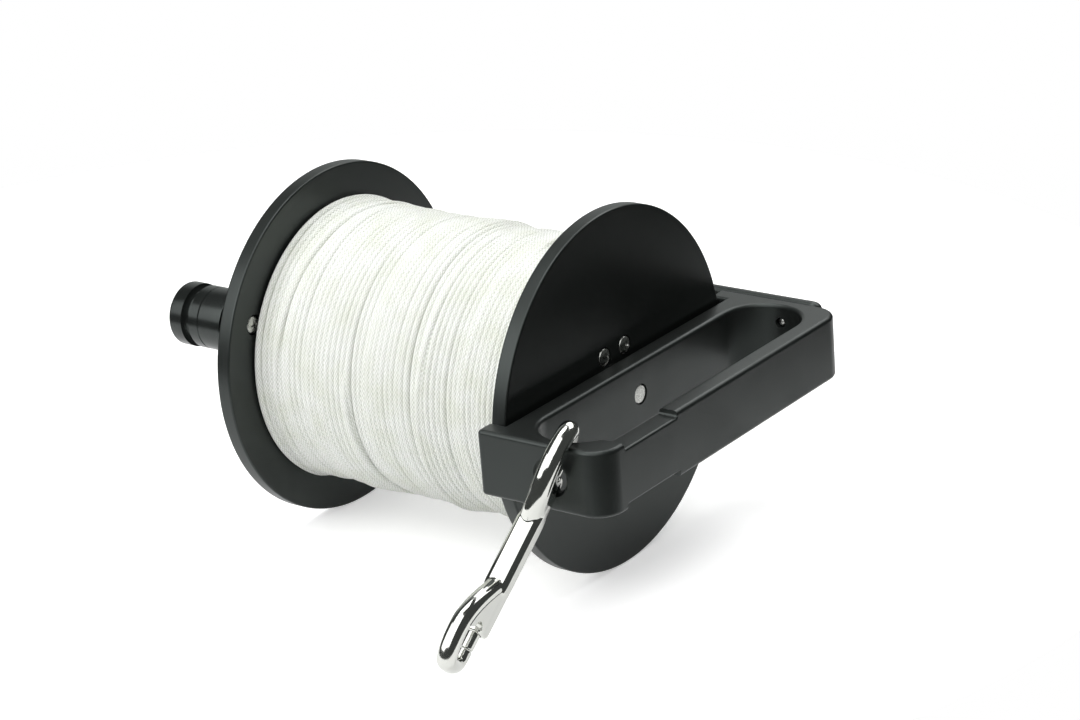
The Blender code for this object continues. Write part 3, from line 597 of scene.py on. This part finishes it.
flange_screw = unshown(
    cross_head_screw("flange_screw_pattern", head_radius, head_height, shank=0.0015, length=0.008)
)
screw_values = {
    "Screw": flange_screw,
    "Count": screw_count,
    "Circle radius": screw_circle,
    "First angle": screw_first - math.pi,
    "Frame side": flange_faces["frame"][0] + head_stands,
    "Knob side": flange_faces["knob"][0] - head_stands,
    "Steel": steel_turned,
}
host = unshown(bpy.data.meshes.new("flange_screws"))
grown = host.modifiers.new("screw ring", "NODES")
grown.node_group = screw_ring_tree()
for socket in grown.node_group.interface.items_tree:
    if socket.in_out == "INPUT":
        grown[socket.identifier] = screw_values[socket.name]
screws = new_piece("flange_screws", applied(host, [flange_screw]), steel_turned, screw_sharp)
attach(screws, "spool_body")
for side in ("frame", "knob"):
    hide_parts(*[f"{side}_flange_screw_{n + 1}" for n in range(screw_count)])

for level, z in (("upper", arm_screw_z), ("lower", -arm_screw_z)):
    name = "arm_screw_" + level
    mesh = cross_head_screw(name, radius=0.0035, height=0.0022, shank=0.0016, length=0.0092)
    mesh.transform(Matrix.Translation((arm_screw_x, arm_screw_crown, z)) @ x_to_y)
    steel_fitting(name, mesh, "frame_body", "guide_screw_" + level, screw_sharp)

name = "knob_holding_screw"
mesh = cross_head_screw(name, radius=0.0033, height=0.0018, shank=0.0018, length=0.013)
mesh.transform(Matrix.Translation((flange_faces["knob"][1] + 0.0001, knob_y, knob_z)))
steel_fitting(name, mesh, "spool_body", "knob_screw", screw_sharp)

# The winding knob: turned from black acetal, with a finger groove behind its collar. It runs on
# a stainless spindle, whose head sits in a counterbore at the tip.

knob_gap, knob_length, collar_length = 0.0014, 0.0236, 0.006
groove_length, groove_depth, collar_rise = 0.0036, 0.0024, 0.0002
knob_start = flange_faces["knob"][0] - knob_gap
knob_tip = knob_start - knob_length
groove_edge = knob_tip + collar_length + groove_length
knob_radius, collar_radius, knob_bore = 0.0113, 0.0115, 0.0043
skirt_radius, skirt_reach = 0.0085, 0.0006
scribe_from, scribe_half = groove_edge + 0.0042, 0.0003
counterbore_radius, counterbore_depth = 0.0073, 0.0036
spindle_end, spindle_hole, spindle_radius, spindle_seat = -0.1849, 0.0021, 0.0040, -0.1751
pin_head_radius, pin_head_foot, pin_head_top = 0.0070, 0.0033, 0.0008
pin_socket_radius, pin_socket_floor = 0.0022, 0.0022
thrust_far, thrust_radius = -0.1759, 0.0080

knob_corners = [
    (knob_start, knob_bore, 0.0003),
    (knob_start, skirt_radius),
    (knob_start + skirt_reach, skirt_radius, 0.0001),
    (knob_start + skirt_reach, knob_radius, 0.0003),
    (scribe_from + scribe_half, knob_radius),
    (scribe_from, knob_radius - scribe_half),
    (scribe_from - scribe_half, knob_radius),
]
for t in np.linspace(0.0, 1.0, 15):
    dip = groove_depth * math.sin(math.pi * t) ** 0.8
    knob_corners.append((groove_edge - groove_length * t, knob_radius + collar_rise * t - dip))
knob_corners += [
    (knob_tip, collar_radius, 0.0012),
    (knob_tip, counterbore_radius, 0.0004),
    (knob_tip + counterbore_depth, counterbore_radius),
    (knob_tip + counterbore_depth, knob_bore),
]
spindle_corners = [
    (spindle_end, 0.0),
    (spindle_end, spindle_hole),
    (spindle_seat, spindle_hole),
    (spindle_seat, spindle_radius),
    (knob_tip + pin_head_foot, spindle_radius),
    (knob_tip + pin_head_foot, pin_head_radius, 0.0002),
    (knob_tip + pin_head_top, pin_head_radius, 0.0005),
    (knob_tip + pin_head_top, pin_socket_radius, 0.0003),
    (knob_tip + pin_socket_floor, pin_socket_radius),
    (knob_tip + pin_socket_floor, 0.0),
]
washer_corners = [
    (spindle_seat, knob_bore, 0.0001),
    (spindle_seat, thrust_radius, 0.0002),
    (thrust_far, thrust_radius, 0.0002),
    (thrust_far, knob_bore, 0.0001),
]


def knob_acetal():
    """Black acetal off the lathe, polished by the fingers: glossier than the flanges, with
    rings of 0.4 mm pitch along its barrel."""
    ring_pitch, wear_size = 0.0004, 0.012
    material, tree, shader, place = black_acetal("black acetal, turned and handled", 0.27)
    split = add_node(tree, "ShaderNodeSeparateXYZ", {"Vector": place}).outputs
    rings = lathe_rings(tree, split["X"], ring_pitch)
    wear = add_node(tree, noise, {"Vector": place, "Scale": 1 / wear_size, "Detail": 2.0})
    set_finish(tree, shader, wear, (0.20, 0.27), rings, (0.05, 0.00004))
    return material


black_knob = knob_acetal()
knob_mesh = turned("knob_barrel", filleted(knob_corners, 8), (knob_y, knob_z), 96, closed=True)
knob_piece = new_piece("knob_barrel", knob_mesh, black_knob)
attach(knob_piece, "knob_body")
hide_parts("winding_knob")
for name, corners, closed, node in (
    ("knob_pin", spindle_corners, False, "knob_spindle"),
    ("knob_thrust_washer", washer_corners, True, "knob_washer"),
):
    mesh = turned(name, filleted(corners), (knob_y, knob_z), 64, closed)
    steel_fitting(name, mesh, "spool_body", node)

# The line: braided white nylon of about 2.2 mm, wound turn by turn until the spool is full. The
# turns lie unevenly, a few cross the others, and both ends tuck in beside the flanges. It is
# drawn 2.6 mm thick, so that the turns of the one outer layer touch.

line_radius_out, rolling_room = 0.0526, 0.0013
line_thickness, line_sides = 0.00262, 10
line_turns, steps_per_turn = 51, 104
line_from, line_to = -0.05365, -0.16775
mean_radius = line_radius_out - rolling_room - line_thickness / 2
first_turn_at = math.radians(-100.0)
side_wander, side_knots = 0.00011, 1.7
rise_wander, rise_knots = 0.00015, 1.3
steady_turns, tuck_turns, tuck_depth = 0.8, 0.06, 0.0030
first_drop, first_reach, last_rise, last_reach = 0.0011, 0.0022, 0.0012, 0.0060
dive_turns, dive_depth, dive_climb = 0.10, 0.0016, 0.0026
stitch_length, stitches_round = 0.0017, 8
line_seed = 11


def eased(share):
    """A share from 0 to 1 with a soft start and end."""
    return share * share * (3 - 2 * share)


def rolling(x, angle):
    """How far the wound line stands above or below its mean, in metres."""
    length_times_round_phase_height = (
        (0.021, 1, 0.4, 0.00030),
        (0.034, 0, 2.1, 0.00034),
        (0.013, 1, 4.0, 0.00018),
        (0.0085, 2, 1.2, 0.00013),
        (0.047, -1, 5.2, 0.00026),
    )
    height = sum(
        size * np.sin(math.tau * x / length + times * angle + phase)
        for length, times, phase, size in length_times_round_phase_height
    )
    drop = first_drop * np.exp(-np.clip(line_from - x, 0.0, None) / first_reach)
    fill = last_rise * np.exp(-np.clip(x - line_to, 0.0, None) / last_reach)
    return height - drop + fill


def laid(x, radius, angle):
    """A strand through these places about X: its points, radii and outward directions."""
    outward = np.stack([np.zeros_like(x), np.cos(angle), np.sin(angle)], axis=-1)
    points = outward * radius[:, None]
    points[:, 0] = x
    return points, np.full(len(x), line_thickness / 2), outward


def tube(points, radii, outward, sides):
    """Rings of points round a path, with outward as each ring's first direction."""
    along = np.gradient(points, axis=0)
    along /= np.linalg.norm(along, axis=1)[:, None]
    first = outward - along * (outward * along).sum(axis=1)[:, None]
    first /= np.linalg.norm(first, axis=1)[:, None]
    second = np.cross(along, first)
    angles = np.linspace(0.0, math.tau, sides, endpoint=False)
    cosines, sines = np.cos(angles)[None, :, None], np.sin(angles)[None, :, None]
    spread = cosines * first[:, None, :] + sines * second[:, None, :]
    return points[:, None, :] + radii[:, None, None] * spread


def rope_mesh(name, strands):
    """One mesh of capped tubes. Its UV map runs in metres along each tube and 0 to 1 round it."""
    vertices, quads, lengths, caps, start = [], [], [], [], 0
    for points, radii, outward in strands:
        rings = tube(points, radii, outward, line_sides)
        count = len(points)
        index = start + np.arange(count * line_sides).reshape(count, line_sides)
        shifted = np.roll(index, -1, axis=1)
        around = np.stack([index[:-1], shifted[:-1], shifted[1:], index[1:]], axis=-1)
        quads.append(around.reshape(-1, 4))
        steps = np.linalg.norm(np.diff(points, axis=0), axis=1)
        lengths.append(np.concatenate([[0.0], np.cumsum(steps)]))
        vertices.append(rings.reshape(-1, 3))
        caps += [index[0][::-1].tolist(), index[-1].tolist()]
        start += count * line_sides
    mesh = bpy.data.meshes.new(name)
    faces = np.concatenate(quads).tolist() + caps
    mesh.from_pydata(np.concatenate(vertices).tolist(), [], faces)
    uv = mesh.uv_layers.new(name="along the line")
    values = []
    for run in lengths:
        v0 = np.tile(np.arange(line_sides) / line_sides, len(run) - 1)
        v1 = v0 + 1 / line_sides
        u0, u1 = np.repeat(run[:-1], line_sides), np.repeat(run[1:], line_sides)
        values.append(np.stack([u0, v0, u0, v1, u1, v1, u1, v0], axis=-1).reshape(-1))
    flat = np.concatenate(values + [np.zeros(2 * line_sides * len(caps))])
    uv.data.foreach_set("uv", flat.astype(np.float32))
    return mesh


def wound_line():
    """The outer layer, one strand that winds from flange to flange with uneven turns."""
    random = np.random.default_rng(line_seed)
    turn = np.arange(line_turns * steps_per_turn + 1) / steps_per_turn
    angle = first_turn_at + math.tau * turn
    x = line_from - (line_from - line_to) / line_turns * turn

    def wandering(size, knots_per_turn):
        """Smooth random values along the strand."""
        knots = random.normal(0.0, 1.0, int(line_turns * knots_per_turn) + 3)
        at = turn * knots_per_turn
        low = np.floor(at).astype(int)
        share = eased(at - low)
        return size * (knots[low] * (1 - share) + knots[low + 1] * share)

    to_end = np.minimum(turn, line_turns - turn)
    x = x + wandering(side_wander, side_knots) * np.clip(to_end / steady_turns, 0.0, 1.0)
    radius = mean_radius + rolling(x, angle) + wandering(rise_wander, rise_knots)
    tucked = np.clip(to_end / tuck_turns, 0.0, 1.0)
    return laid(x, radius - tuck_depth * (1 - tucked) ** 2, angle)


def crossing_strand(from_x, to_x, from_degrees, turns):
    """A stretch that crosses the other turns on top of them and dives in at both ends."""
    steps = int(turns * steps_per_turn)
    share = np.arange(steps + 1) / steps
    angle = math.radians(from_degrees) + math.tau * turns * share
    x = from_x + (to_x - from_x) * eased(share)
    rise = eased(np.clip(np.minimum(share, 1 - share) * turns / dive_turns, 0.0, 1.0))
    radius = mean_radius + rolling(x, angle) - dive_depth + dive_climb * rise
    return laid(x, radius, angle)


def braided_nylon():
    """Braided white nylon: diagonal stitches of about 1.7 mm that cross round the line, dull
    white filaments on top, and painted shade, a faint warm grey, in the grooves between them."""
    soil_size = 0.012
    material, tree, shader, place = new_material("white nylon, braided", "#fafbf8", 0.62)
    feed(tree, shader, {"Sheen Weight": 0.25, "Sheen Roughness": 0.5, "Specular IOR Level": 0.35})
    along = add_node(tree, "ShaderNodeUVMap", uv_map="along the line")
    split = add_node(tree, "ShaderNodeSeparateXYZ", {"Vector": along}).outputs
    paces = ((split["X"], math.pi / stitch_length), (split["Y"], math.pi * stitches_round))
    run, across = (
        add_node(tree, maths, {0: measure, 1: pace}, operation="MULTIPLY")
        for measure, pace in paces
    )
    ridges = []
    for operation in ("ADD", "SUBTRACT"):
        lean = add_node(tree, maths, {0: run, 1: across}, operation=operation)
        wave = add_node(tree, maths, {0: lean}, operation="SINE")
        ridges.append(add_node(tree, maths, {0: wave}, operation="ABSOLUTE"))
    stitch = add_node(tree, maths, dict(enumerate(ridges)), operation="MULTIPLY")
    # Painted shade: near white on the stitch tops, shading to warm grey in the grooves between the
    # stitches.
    colour = add_node(tree, ramp, {"Fac": stitch}, ((0.0, "#d6dad0"), (0.42, "#fcfdfa")))
    soil = add_node(tree, noise, {"Vector": place, "Scale": 1 / soil_size, "Detail": 5.0})
    soiled = add_node(tree, ramp, {"Fac": soil}, ((0.3, "#f6f7f1"), (0.6, "#ffffff")))
    mixed = add_node(tree, "ShaderNodeMix", data_type="RGBA", blend_type="MULTIPLY")
    feed(tree, mixed, {"Factor": 1.0, "A": colour, "B": soiled})
    raised = {"Height": stitch, "Strength": 0.8, "Distance": 0.00030}
    raised = add_node(tree, "ShaderNodeBump", raised)
    feed(tree, shader, {"Base Color": mixed.outputs["Result"], "Normal": raised})
    return material


crossings = (
    (-0.0590, -0.0700, -95.0, 0.62),
    (-0.0660, -0.0600, -60.0, 0.70),
    (-0.0920, -0.1010, 60.0, 0.90),
    (-0.1280, -0.1190, 150.0, 0.75),
    (-0.1530, -0.1620, 20.0, 0.66),
)
white_braid = braided_nylon()
strands = [wound_line()] + [crossing_strand(*crossing) for crossing in crossings]
line_mesh = rope_mesh("wound_braided_line", strands)
line_piece = new_piece("wound_braided_line", line_mesh, white_braid, None)
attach(line_piece, "spool_body")
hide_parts("line_winding", "line_core")

# The layers below show only as shade between the outer turns, so they are one ribbed drum of
# the same line, closed down to the spool's tube.

drum_top, drum_inset = line_radius_out - 0.0035, 0.0006
rib_height, rib_pitch, tube_radius = 0.0004, 0.00224, 0.0203
ribs = np.linspace(line_from + drum_inset, line_to - drum_inset, line_turns * 6 + 1)
drum = [
    (x, drum_top - rib_height * abs(math.sin(math.pi * (x - ribs[0]) / rib_pitch))) for x in ribs
]
profile = [(ribs[0], tube_radius)] + drum + [(ribs[-1], tube_radius)]
drum_mesh = turned("lower_layers", profile, segments=72, closed=True)
drum_piece = new_piece("line_lower_layers", drum_mesh, white_braid, None)
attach(drum_piece, "spool_body")

# The snap: a double-ended bolt snap, cast in stainless steel and polished bright. A chamfered
# bar carries a hook at each end, with a web between its spine and the barrel of each gate. The
# snap's own Z runs along it, and Y points away from its spine.

snap_half, snap_sides = 0.046, 96
hinge_place = (-0.020473, -0.07095, 0.008775)
snap_turn = Euler((math.radians(42.0 - 90.0), math.radians(3.4), math.radians(13.7)), "ZYX")
to_gate, to_tip = 0.006, 0.0105
bar_half_width, bar_half_depth, bar_half, bar_chamfer = 0.0043, 0.0036, 0.012, 0.0016
barrel_half_width, barrel_half_depth, barrel_back, barrel_end = 0.0039, 0.0039, 0.0006, 0.0293
barrel_squareness, barrel_edge, barrel_tuck = 3.4, 0.0016, 0.28
bar_overlap, bar_to_barrel = 0.0006, 0.0056
rod_radius, nose_radius, reach, swell_points = 0.0033, 0.0023, 0.0136, 60
nose_from_tip, widest_from_tip = 0.0107, 0.014
nose_straight, apex_across, nose_pull, apex_pull = 0.12, 0.68, 0.74, 0.26
circle_pull, spine_pull, bar_pull = 0.5523, 0.0066, 0.0052
web_half, web_overlap = 0.0036, 0.003
upper_hook_turn, turn_from, turn_to = math.radians(12.0), 0.0095, 0.0185
gate_radius, gate_inner, gate_travel, gate_play = 0.00225, 0.0145, 0.006, 0.0003
stud_along, stud_radius, stud_height = 0.0188, 0.0016, 0.0024
bore_floor = 0.005
snap_place = (
    Matrix.Translation(hinge_place)
    @ snap_turn.to_matrix().to_4x4()
    @ Matrix.Translation((0.0, to_gate, to_tip - snap_half))
)


def bar_ring(along, roundness, shrink=1.0):
    """A section of the bar: a chamfered rectangle that turns into a rounded square."""
    ring = []
    for i in range(snap_sides):
        angle = math.tau * (i + 0.5) / snap_sides
        c, s = abs(math.cos(angle)), abs(math.sin(angle))
        chamfered = min(
            bar_half_width / max(c, 1e-6),
            bar_half_depth / max(s, 1e-6),
            (bar_half_width + bar_half_depth - bar_chamfer) / (c + s),
        )
        rounded = (
            (c / barrel_half_width) ** barrel_squareness
            + (s / barrel_half_depth) ** barrel_squareness
        ) ** (-1 / barrel_squareness)
        size = shrink * (chamfered * (1 - roundness) + rounded * roundness)
        lift = barrel_back * roundness
        ring.append((size * math.cos(angle), size * math.sin(angle) + lift, along))
    return ring


def curve_points(points, steps):
    """Points on a cubic curve through the first and last of four points."""
    a, b, c, d = (np.array(point) for point in points)
    t = np.linspace(0.0, 1.0, steps + 1)[:, None]
    return (1 - t) ** 3 * a + 3 * t * (1 - t) ** 2 * b + 3 * t**2 * (1 - t) * c + t**3 * d


def hook_line():
    """From the nose, round the tip and down the spine: (towards the spine, along)."""
    nose = snap_half - nose_from_tip
    nose_top = nose + nose_from_tip * nose_straight
    apex, widest = snap_half - rod_radius, snap_half - widest_from_tip
    across, rise, fall = apex_across * reach, apex - nose_top, apex - widest
    past_nose, before_apex = (0.0, nose_top + rise * nose_pull), (across * apex_pull, apex)
    inner = curve_points(((0.0, nose_top), past_nose, before_apex, (across, apex)), 50)
    past_apex = (across + (reach - across) * circle_pull, apex)
    before_widest = (reach, widest + fall * circle_pull)
    outer = curve_points(((across, apex), past_apex, before_widest, (reach, widest)), 50)
    start = (bar_half_depth * 0.35, bar_half + bar_overlap)
    leaving = (start[0] + bar_pull, start[1] + bar_pull)
    spine = curve_points(((reach, widest), (reach, widest - spine_pull), leaving, start), 70)
    return np.vstack(([(0.0, nose)], inner, outer[1:], spine[1:]))


line_of_hook = hook_line()
swell = eased(np.clip(np.arange(len(line_of_hook)) / swell_points, 0.0, 1.0))
hook_radii = nose_radius + (rod_radius - nose_radius) * swell
sideways = np.tile((1.0, 0.0, 0.0), (len(line_of_hook), 1))
window_low, window_high = gate_radius, reach - rod_radius
throat_radius = (window_high - window_low) / 2
throat_middle = (window_high + window_low) / 2
throat = barrel_end - web_overlap + throat_radius
half_bar = [
    (bar_half - bar_overlap + bar_to_barrel * t, eased(t), 1.0) for t in np.linspace(0.0, 1.0, 13)
]
half_bar += [
    (barrel_end - barrel_edge * (1 - math.sin(a)), 1.0, 1 - barrel_tuck + barrel_tuck * math.cos(a))
    for a in quarter(9)
]
rings = [bar_ring(-along, *section) for along, *section in reversed(half_bar)]
rings += [bar_ring(*station) for station in half_bar]
castings = [stacked("snap_bar", rings)]
for side in (1, -1):
    path = np.array([(0.0, -a, side * b) for a, b in line_of_hook])
    castings.append(stacked("snap_hook", tube(path, hook_radii, sideways, snap_sides).tolist()))
    web = [tuple(p) for p in line_of_hook[::-1] if p[1] < throat]
    web += [
        (throat_middle + throat_radius * math.sin(a), throat - throat_radius * math.cos(a))
        for a in quarter(18, 78.0, -60.0)
    ]
    web.append((0.0, barrel_end - web_overlap))
    rings = [[(x, -a, side * b) for a, b in web] for x in (-web_half, web_half)]
    castings.append(stacked("snap_web", rings))

build = bmesh.new()
for mesh in castings:
    build.from_mesh(mesh)
casting = unshown(bpy.data.meshes.new("snap_casting"))
build.to_mesh(casting.data)
build.free()
remesh = casting.modifiers.new("one skin", "REMESH")
remesh.mode = "VOXEL"
remesh.voxel_size = 0.00024
relaxed = casting.modifiers.new("polished", "SMOOTH")
relaxed.factor = 0.5
relaxed.iterations = 10
snap_mesh = applied(casting)


def along_snap(name, profile, stands_at=None):
    """A turned shape about the snap's length, or one that stands out of its front there."""
    mesh = turned(name, profile, segments=48)
    if stands_at is None:
        mesh.transform(Matrix.Rotation(-math.pi / 2, 4, "Y"))
    else:
        mesh.transform(Matrix.Translation((0.0, 0.0, stands_at)) @ x_to_y)
    return mesh


snap_cuts = []
for side in (1, -1):
    ends = sorted((side * (barrel_end + overshoot), side * bore_floor), reverse=True)
    snap_cuts.append(along_snap("gate_bore", plain_pin(*ends, gate_radius + gate_play)))
    slot_line = arc((0.0, stud_along), stud_radius + gate_play, 0, 180, 16)
    slot_line += arc((0.0, stud_along - gate_travel), stud_radius + gate_play, 180, 360, 16)
    rings = [[(x, y, side * z) for x, z in slot_line] for y in (0.0, bar_half_depth + 0.003)]
    stud_slot = stacked("stud_slot", rings)
    if side == 1:
        stud_slot.transform(Matrix.Rotation(upper_hook_turn, 4, "Z"))
    snap_cuts.append(stud_slot)
for vertex in snap_mesh.vertices:
    share = min(max((vertex.co.z - turn_from) / (turn_to - turn_from), 0.0), 1.0)
    vertex.co = Matrix.Rotation(upper_hook_turn * eased(share), 3, "Z") @ vertex.co
snap_mesh = boolean(snap_mesh, snap_cuts)
snap_mesh.transform(snap_place)


def polished_steel():
    """Polished 316 stainless steel: a bright mirror skin, with smears of about 7 mm from
    handling that soften its highlights."""
    smear_size = 0.007
    name = "stainless steel, cast and polished"
    material, tree, shader, place = new_material(name, "#d3d4cf", 0.09, 1.0)
    smears = add_node(tree, noise, {"Vector": place, "Scale": 1 / smear_size, "Detail": 5.0})
    limits = {"From Min": 0.35, "From Max": 0.7, "To Min": 0.05, "To Max": 0.16}
    rough = add_node(tree, "ShaderNodeMapRange", {"Value": smears, **limits})
    feed(tree, shader, {"Roughness": rough})
    return material


steel_polished = polished_steel()
snap_piece = new_piece("double_ended_snap", snap_mesh, steel_polished, 45.0)
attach(snap_piece, "snap")
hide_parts("snap_body")

# The gates: each is a polished steel pin that slides in its barrel and shuts against the hook's
# nose. Its thumb stud stands out of a slot, and a spring behind it pushes it shut.

gate_tip = snap_half - nose_from_tip - gate_play
stud_top = bar_half_depth + stud_height

for name, side in (("upper", 1), ("lower", -1)):
    pin = [(gate_inner, 0.0), (gate_inner, gate_radius, 0.0003)]
    pin += [(gate_tip, gate_radius, 0.0006), (gate_tip, 0.0)]
    pin = along_snap("gate_pin", [(side * a, r) for a, r in filleted(pin)])
    stud = [(0.0, 0.0), (0.0, stud_radius), (stud_top - 0.0010, stud_radius, 0.0002)]
    stud.append((stud_top - 0.0008, stud_radius + 0.0003, 0.0002))
    stud += [(stud_top, stud_radius + 0.0002, 0.0004), (stud_top, 0.0)]
    stud = along_snap("gate_stud", filleted(stud), stands_at=side * stud_along)
    gate_mesh = boolean(pin, [stud], "UNION")
    if name == "upper":
        gate_mesh.transform(Matrix.Rotation(upper_hook_turn, 4, "Z"))
    gate_mesh.transform(snap_place)
    gate_piece = new_piece(name + "_gate_pin", gate_mesh, steel_polished, 40.0)
    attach(gate_piece, name + "_gate_body")
    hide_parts(name + "_gate")
    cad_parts[name + "_gate_spring"].data.materials[0] = steel_turned

# The table and the studio: a round white table in a dark room, with a pale grey sweep behind the
# reel. What faces the sweep looks lighter and what faces the room looks dark. The camera itself
# sees white all round, and the table glows a little for it, so that it looks white as well.

table_height, table_radius, table_sides = -0.06505, 0.37, 96
table_middle = (-0.25, 0.06)
glow_for_camera, glow_in_mirrors = 0.45, 0.12
sweep_heading = Vector((-0.727, 0.654, 0.208)).normalized()
lamps_aim = Vector((-0.09, 0.0, 0.0))

table_rim = arc(table_middle, table_radius, 0, 360, table_sides)[:table_sides]
table_mesh = bpy.data.meshes.new("table")
table_top = [(x, y, table_height) for x, y in table_rim]
table_mesh.from_pydata(table_top, [], [list(range(table_sides))])
table_material, tree, shader, _ = new_material("white laminate", "#eeeeee", 0.8)
paths = add_node(tree, "ShaderNodeLightPath").outputs
bent = {0: paths["Is Glossy Ray"], 1: paths["Is Transmission Ray"]}
bent = add_node(tree, maths, bent, operation="MAXIMUM")
mirrored = add_node(tree, maths, {0: bent, 1: glow_in_mirrors}, operation="MULTIPLY")
glow = {0: paths["Is Camera Ray"], 1: glow_for_camera, 2: mirrored}
glow = add_node(tree, maths, glow, operation="MULTIPLY_ADD")
feed(tree, shader, {"Emission Color": (1.0, 1.0, 1.0, 1.0), "Emission Strength": glow})
table = new_piece("table", table_mesh, table_material, None)

world = bpy.data.worlds.new("studio")
bpy.context.scene.world = world
world.use_nodes = True
tree = world.node_tree
background = tree.nodes["Background"]
heading = add_node(tree, "ShaderNodeTexCoord").outputs["Generated"]
towards = {0: heading, 1: sweep_heading}
towards = add_node(tree, "ShaderNodeVectorMath", towards, operation="DOT_PRODUCT")
room_to_sweep = ((0.84, "#464847"), (0.97, "#bcc0be"))
room = add_node(tree, ramp, {"Fac": towards.outputs["Value"]}, room_to_sweep)
room.color_ramp.interpolation = "EASE"
paths = add_node(tree, "ShaderNodeLightPath").outputs
shown = add_node(tree, "ShaderNodeMix", data_type="RGBA")
feed(tree, shown, {"Factor": paths["Is Camera Ray"], "A": room, "B": (1.0, 1.0, 1.0, 1.0)})
feed(tree, background, {"Color": shown.outputs["Result"], "Strength": 1.0})

for name, place, size, watts in (
    ("key_softbox", (-0.12, -0.95, 1.20), (2.1, 2.0), 27.0),
    ("top_softbox", (-0.30, 0.12, 1.30), (0.8, 0.6), 6.5),
    ("back_softbox", (-0.05, 0.98, 1.00), (1.4, 0.7), 9.0),
    ("front_softbox", (-0.42, -0.58, 0.32), (0.7, 0.45), 1.8),
):
    light = bpy.data.lights.new(name, "AREA")
    light.shape = "RECTANGLE"
    light.size, light.size_y = size
    light.energy = watts
    lamp = bpy.data.objects.new(name, light)
    lamp.location = place
    lamp.rotation_euler = (Vector(place) - lamps_aim).to_track_quat("Z", "Y").to_euler()
    bpy.context.scene.collection.objects.link(lamp)

bpy.context.scene.view_settings.view_transform = "Standard"
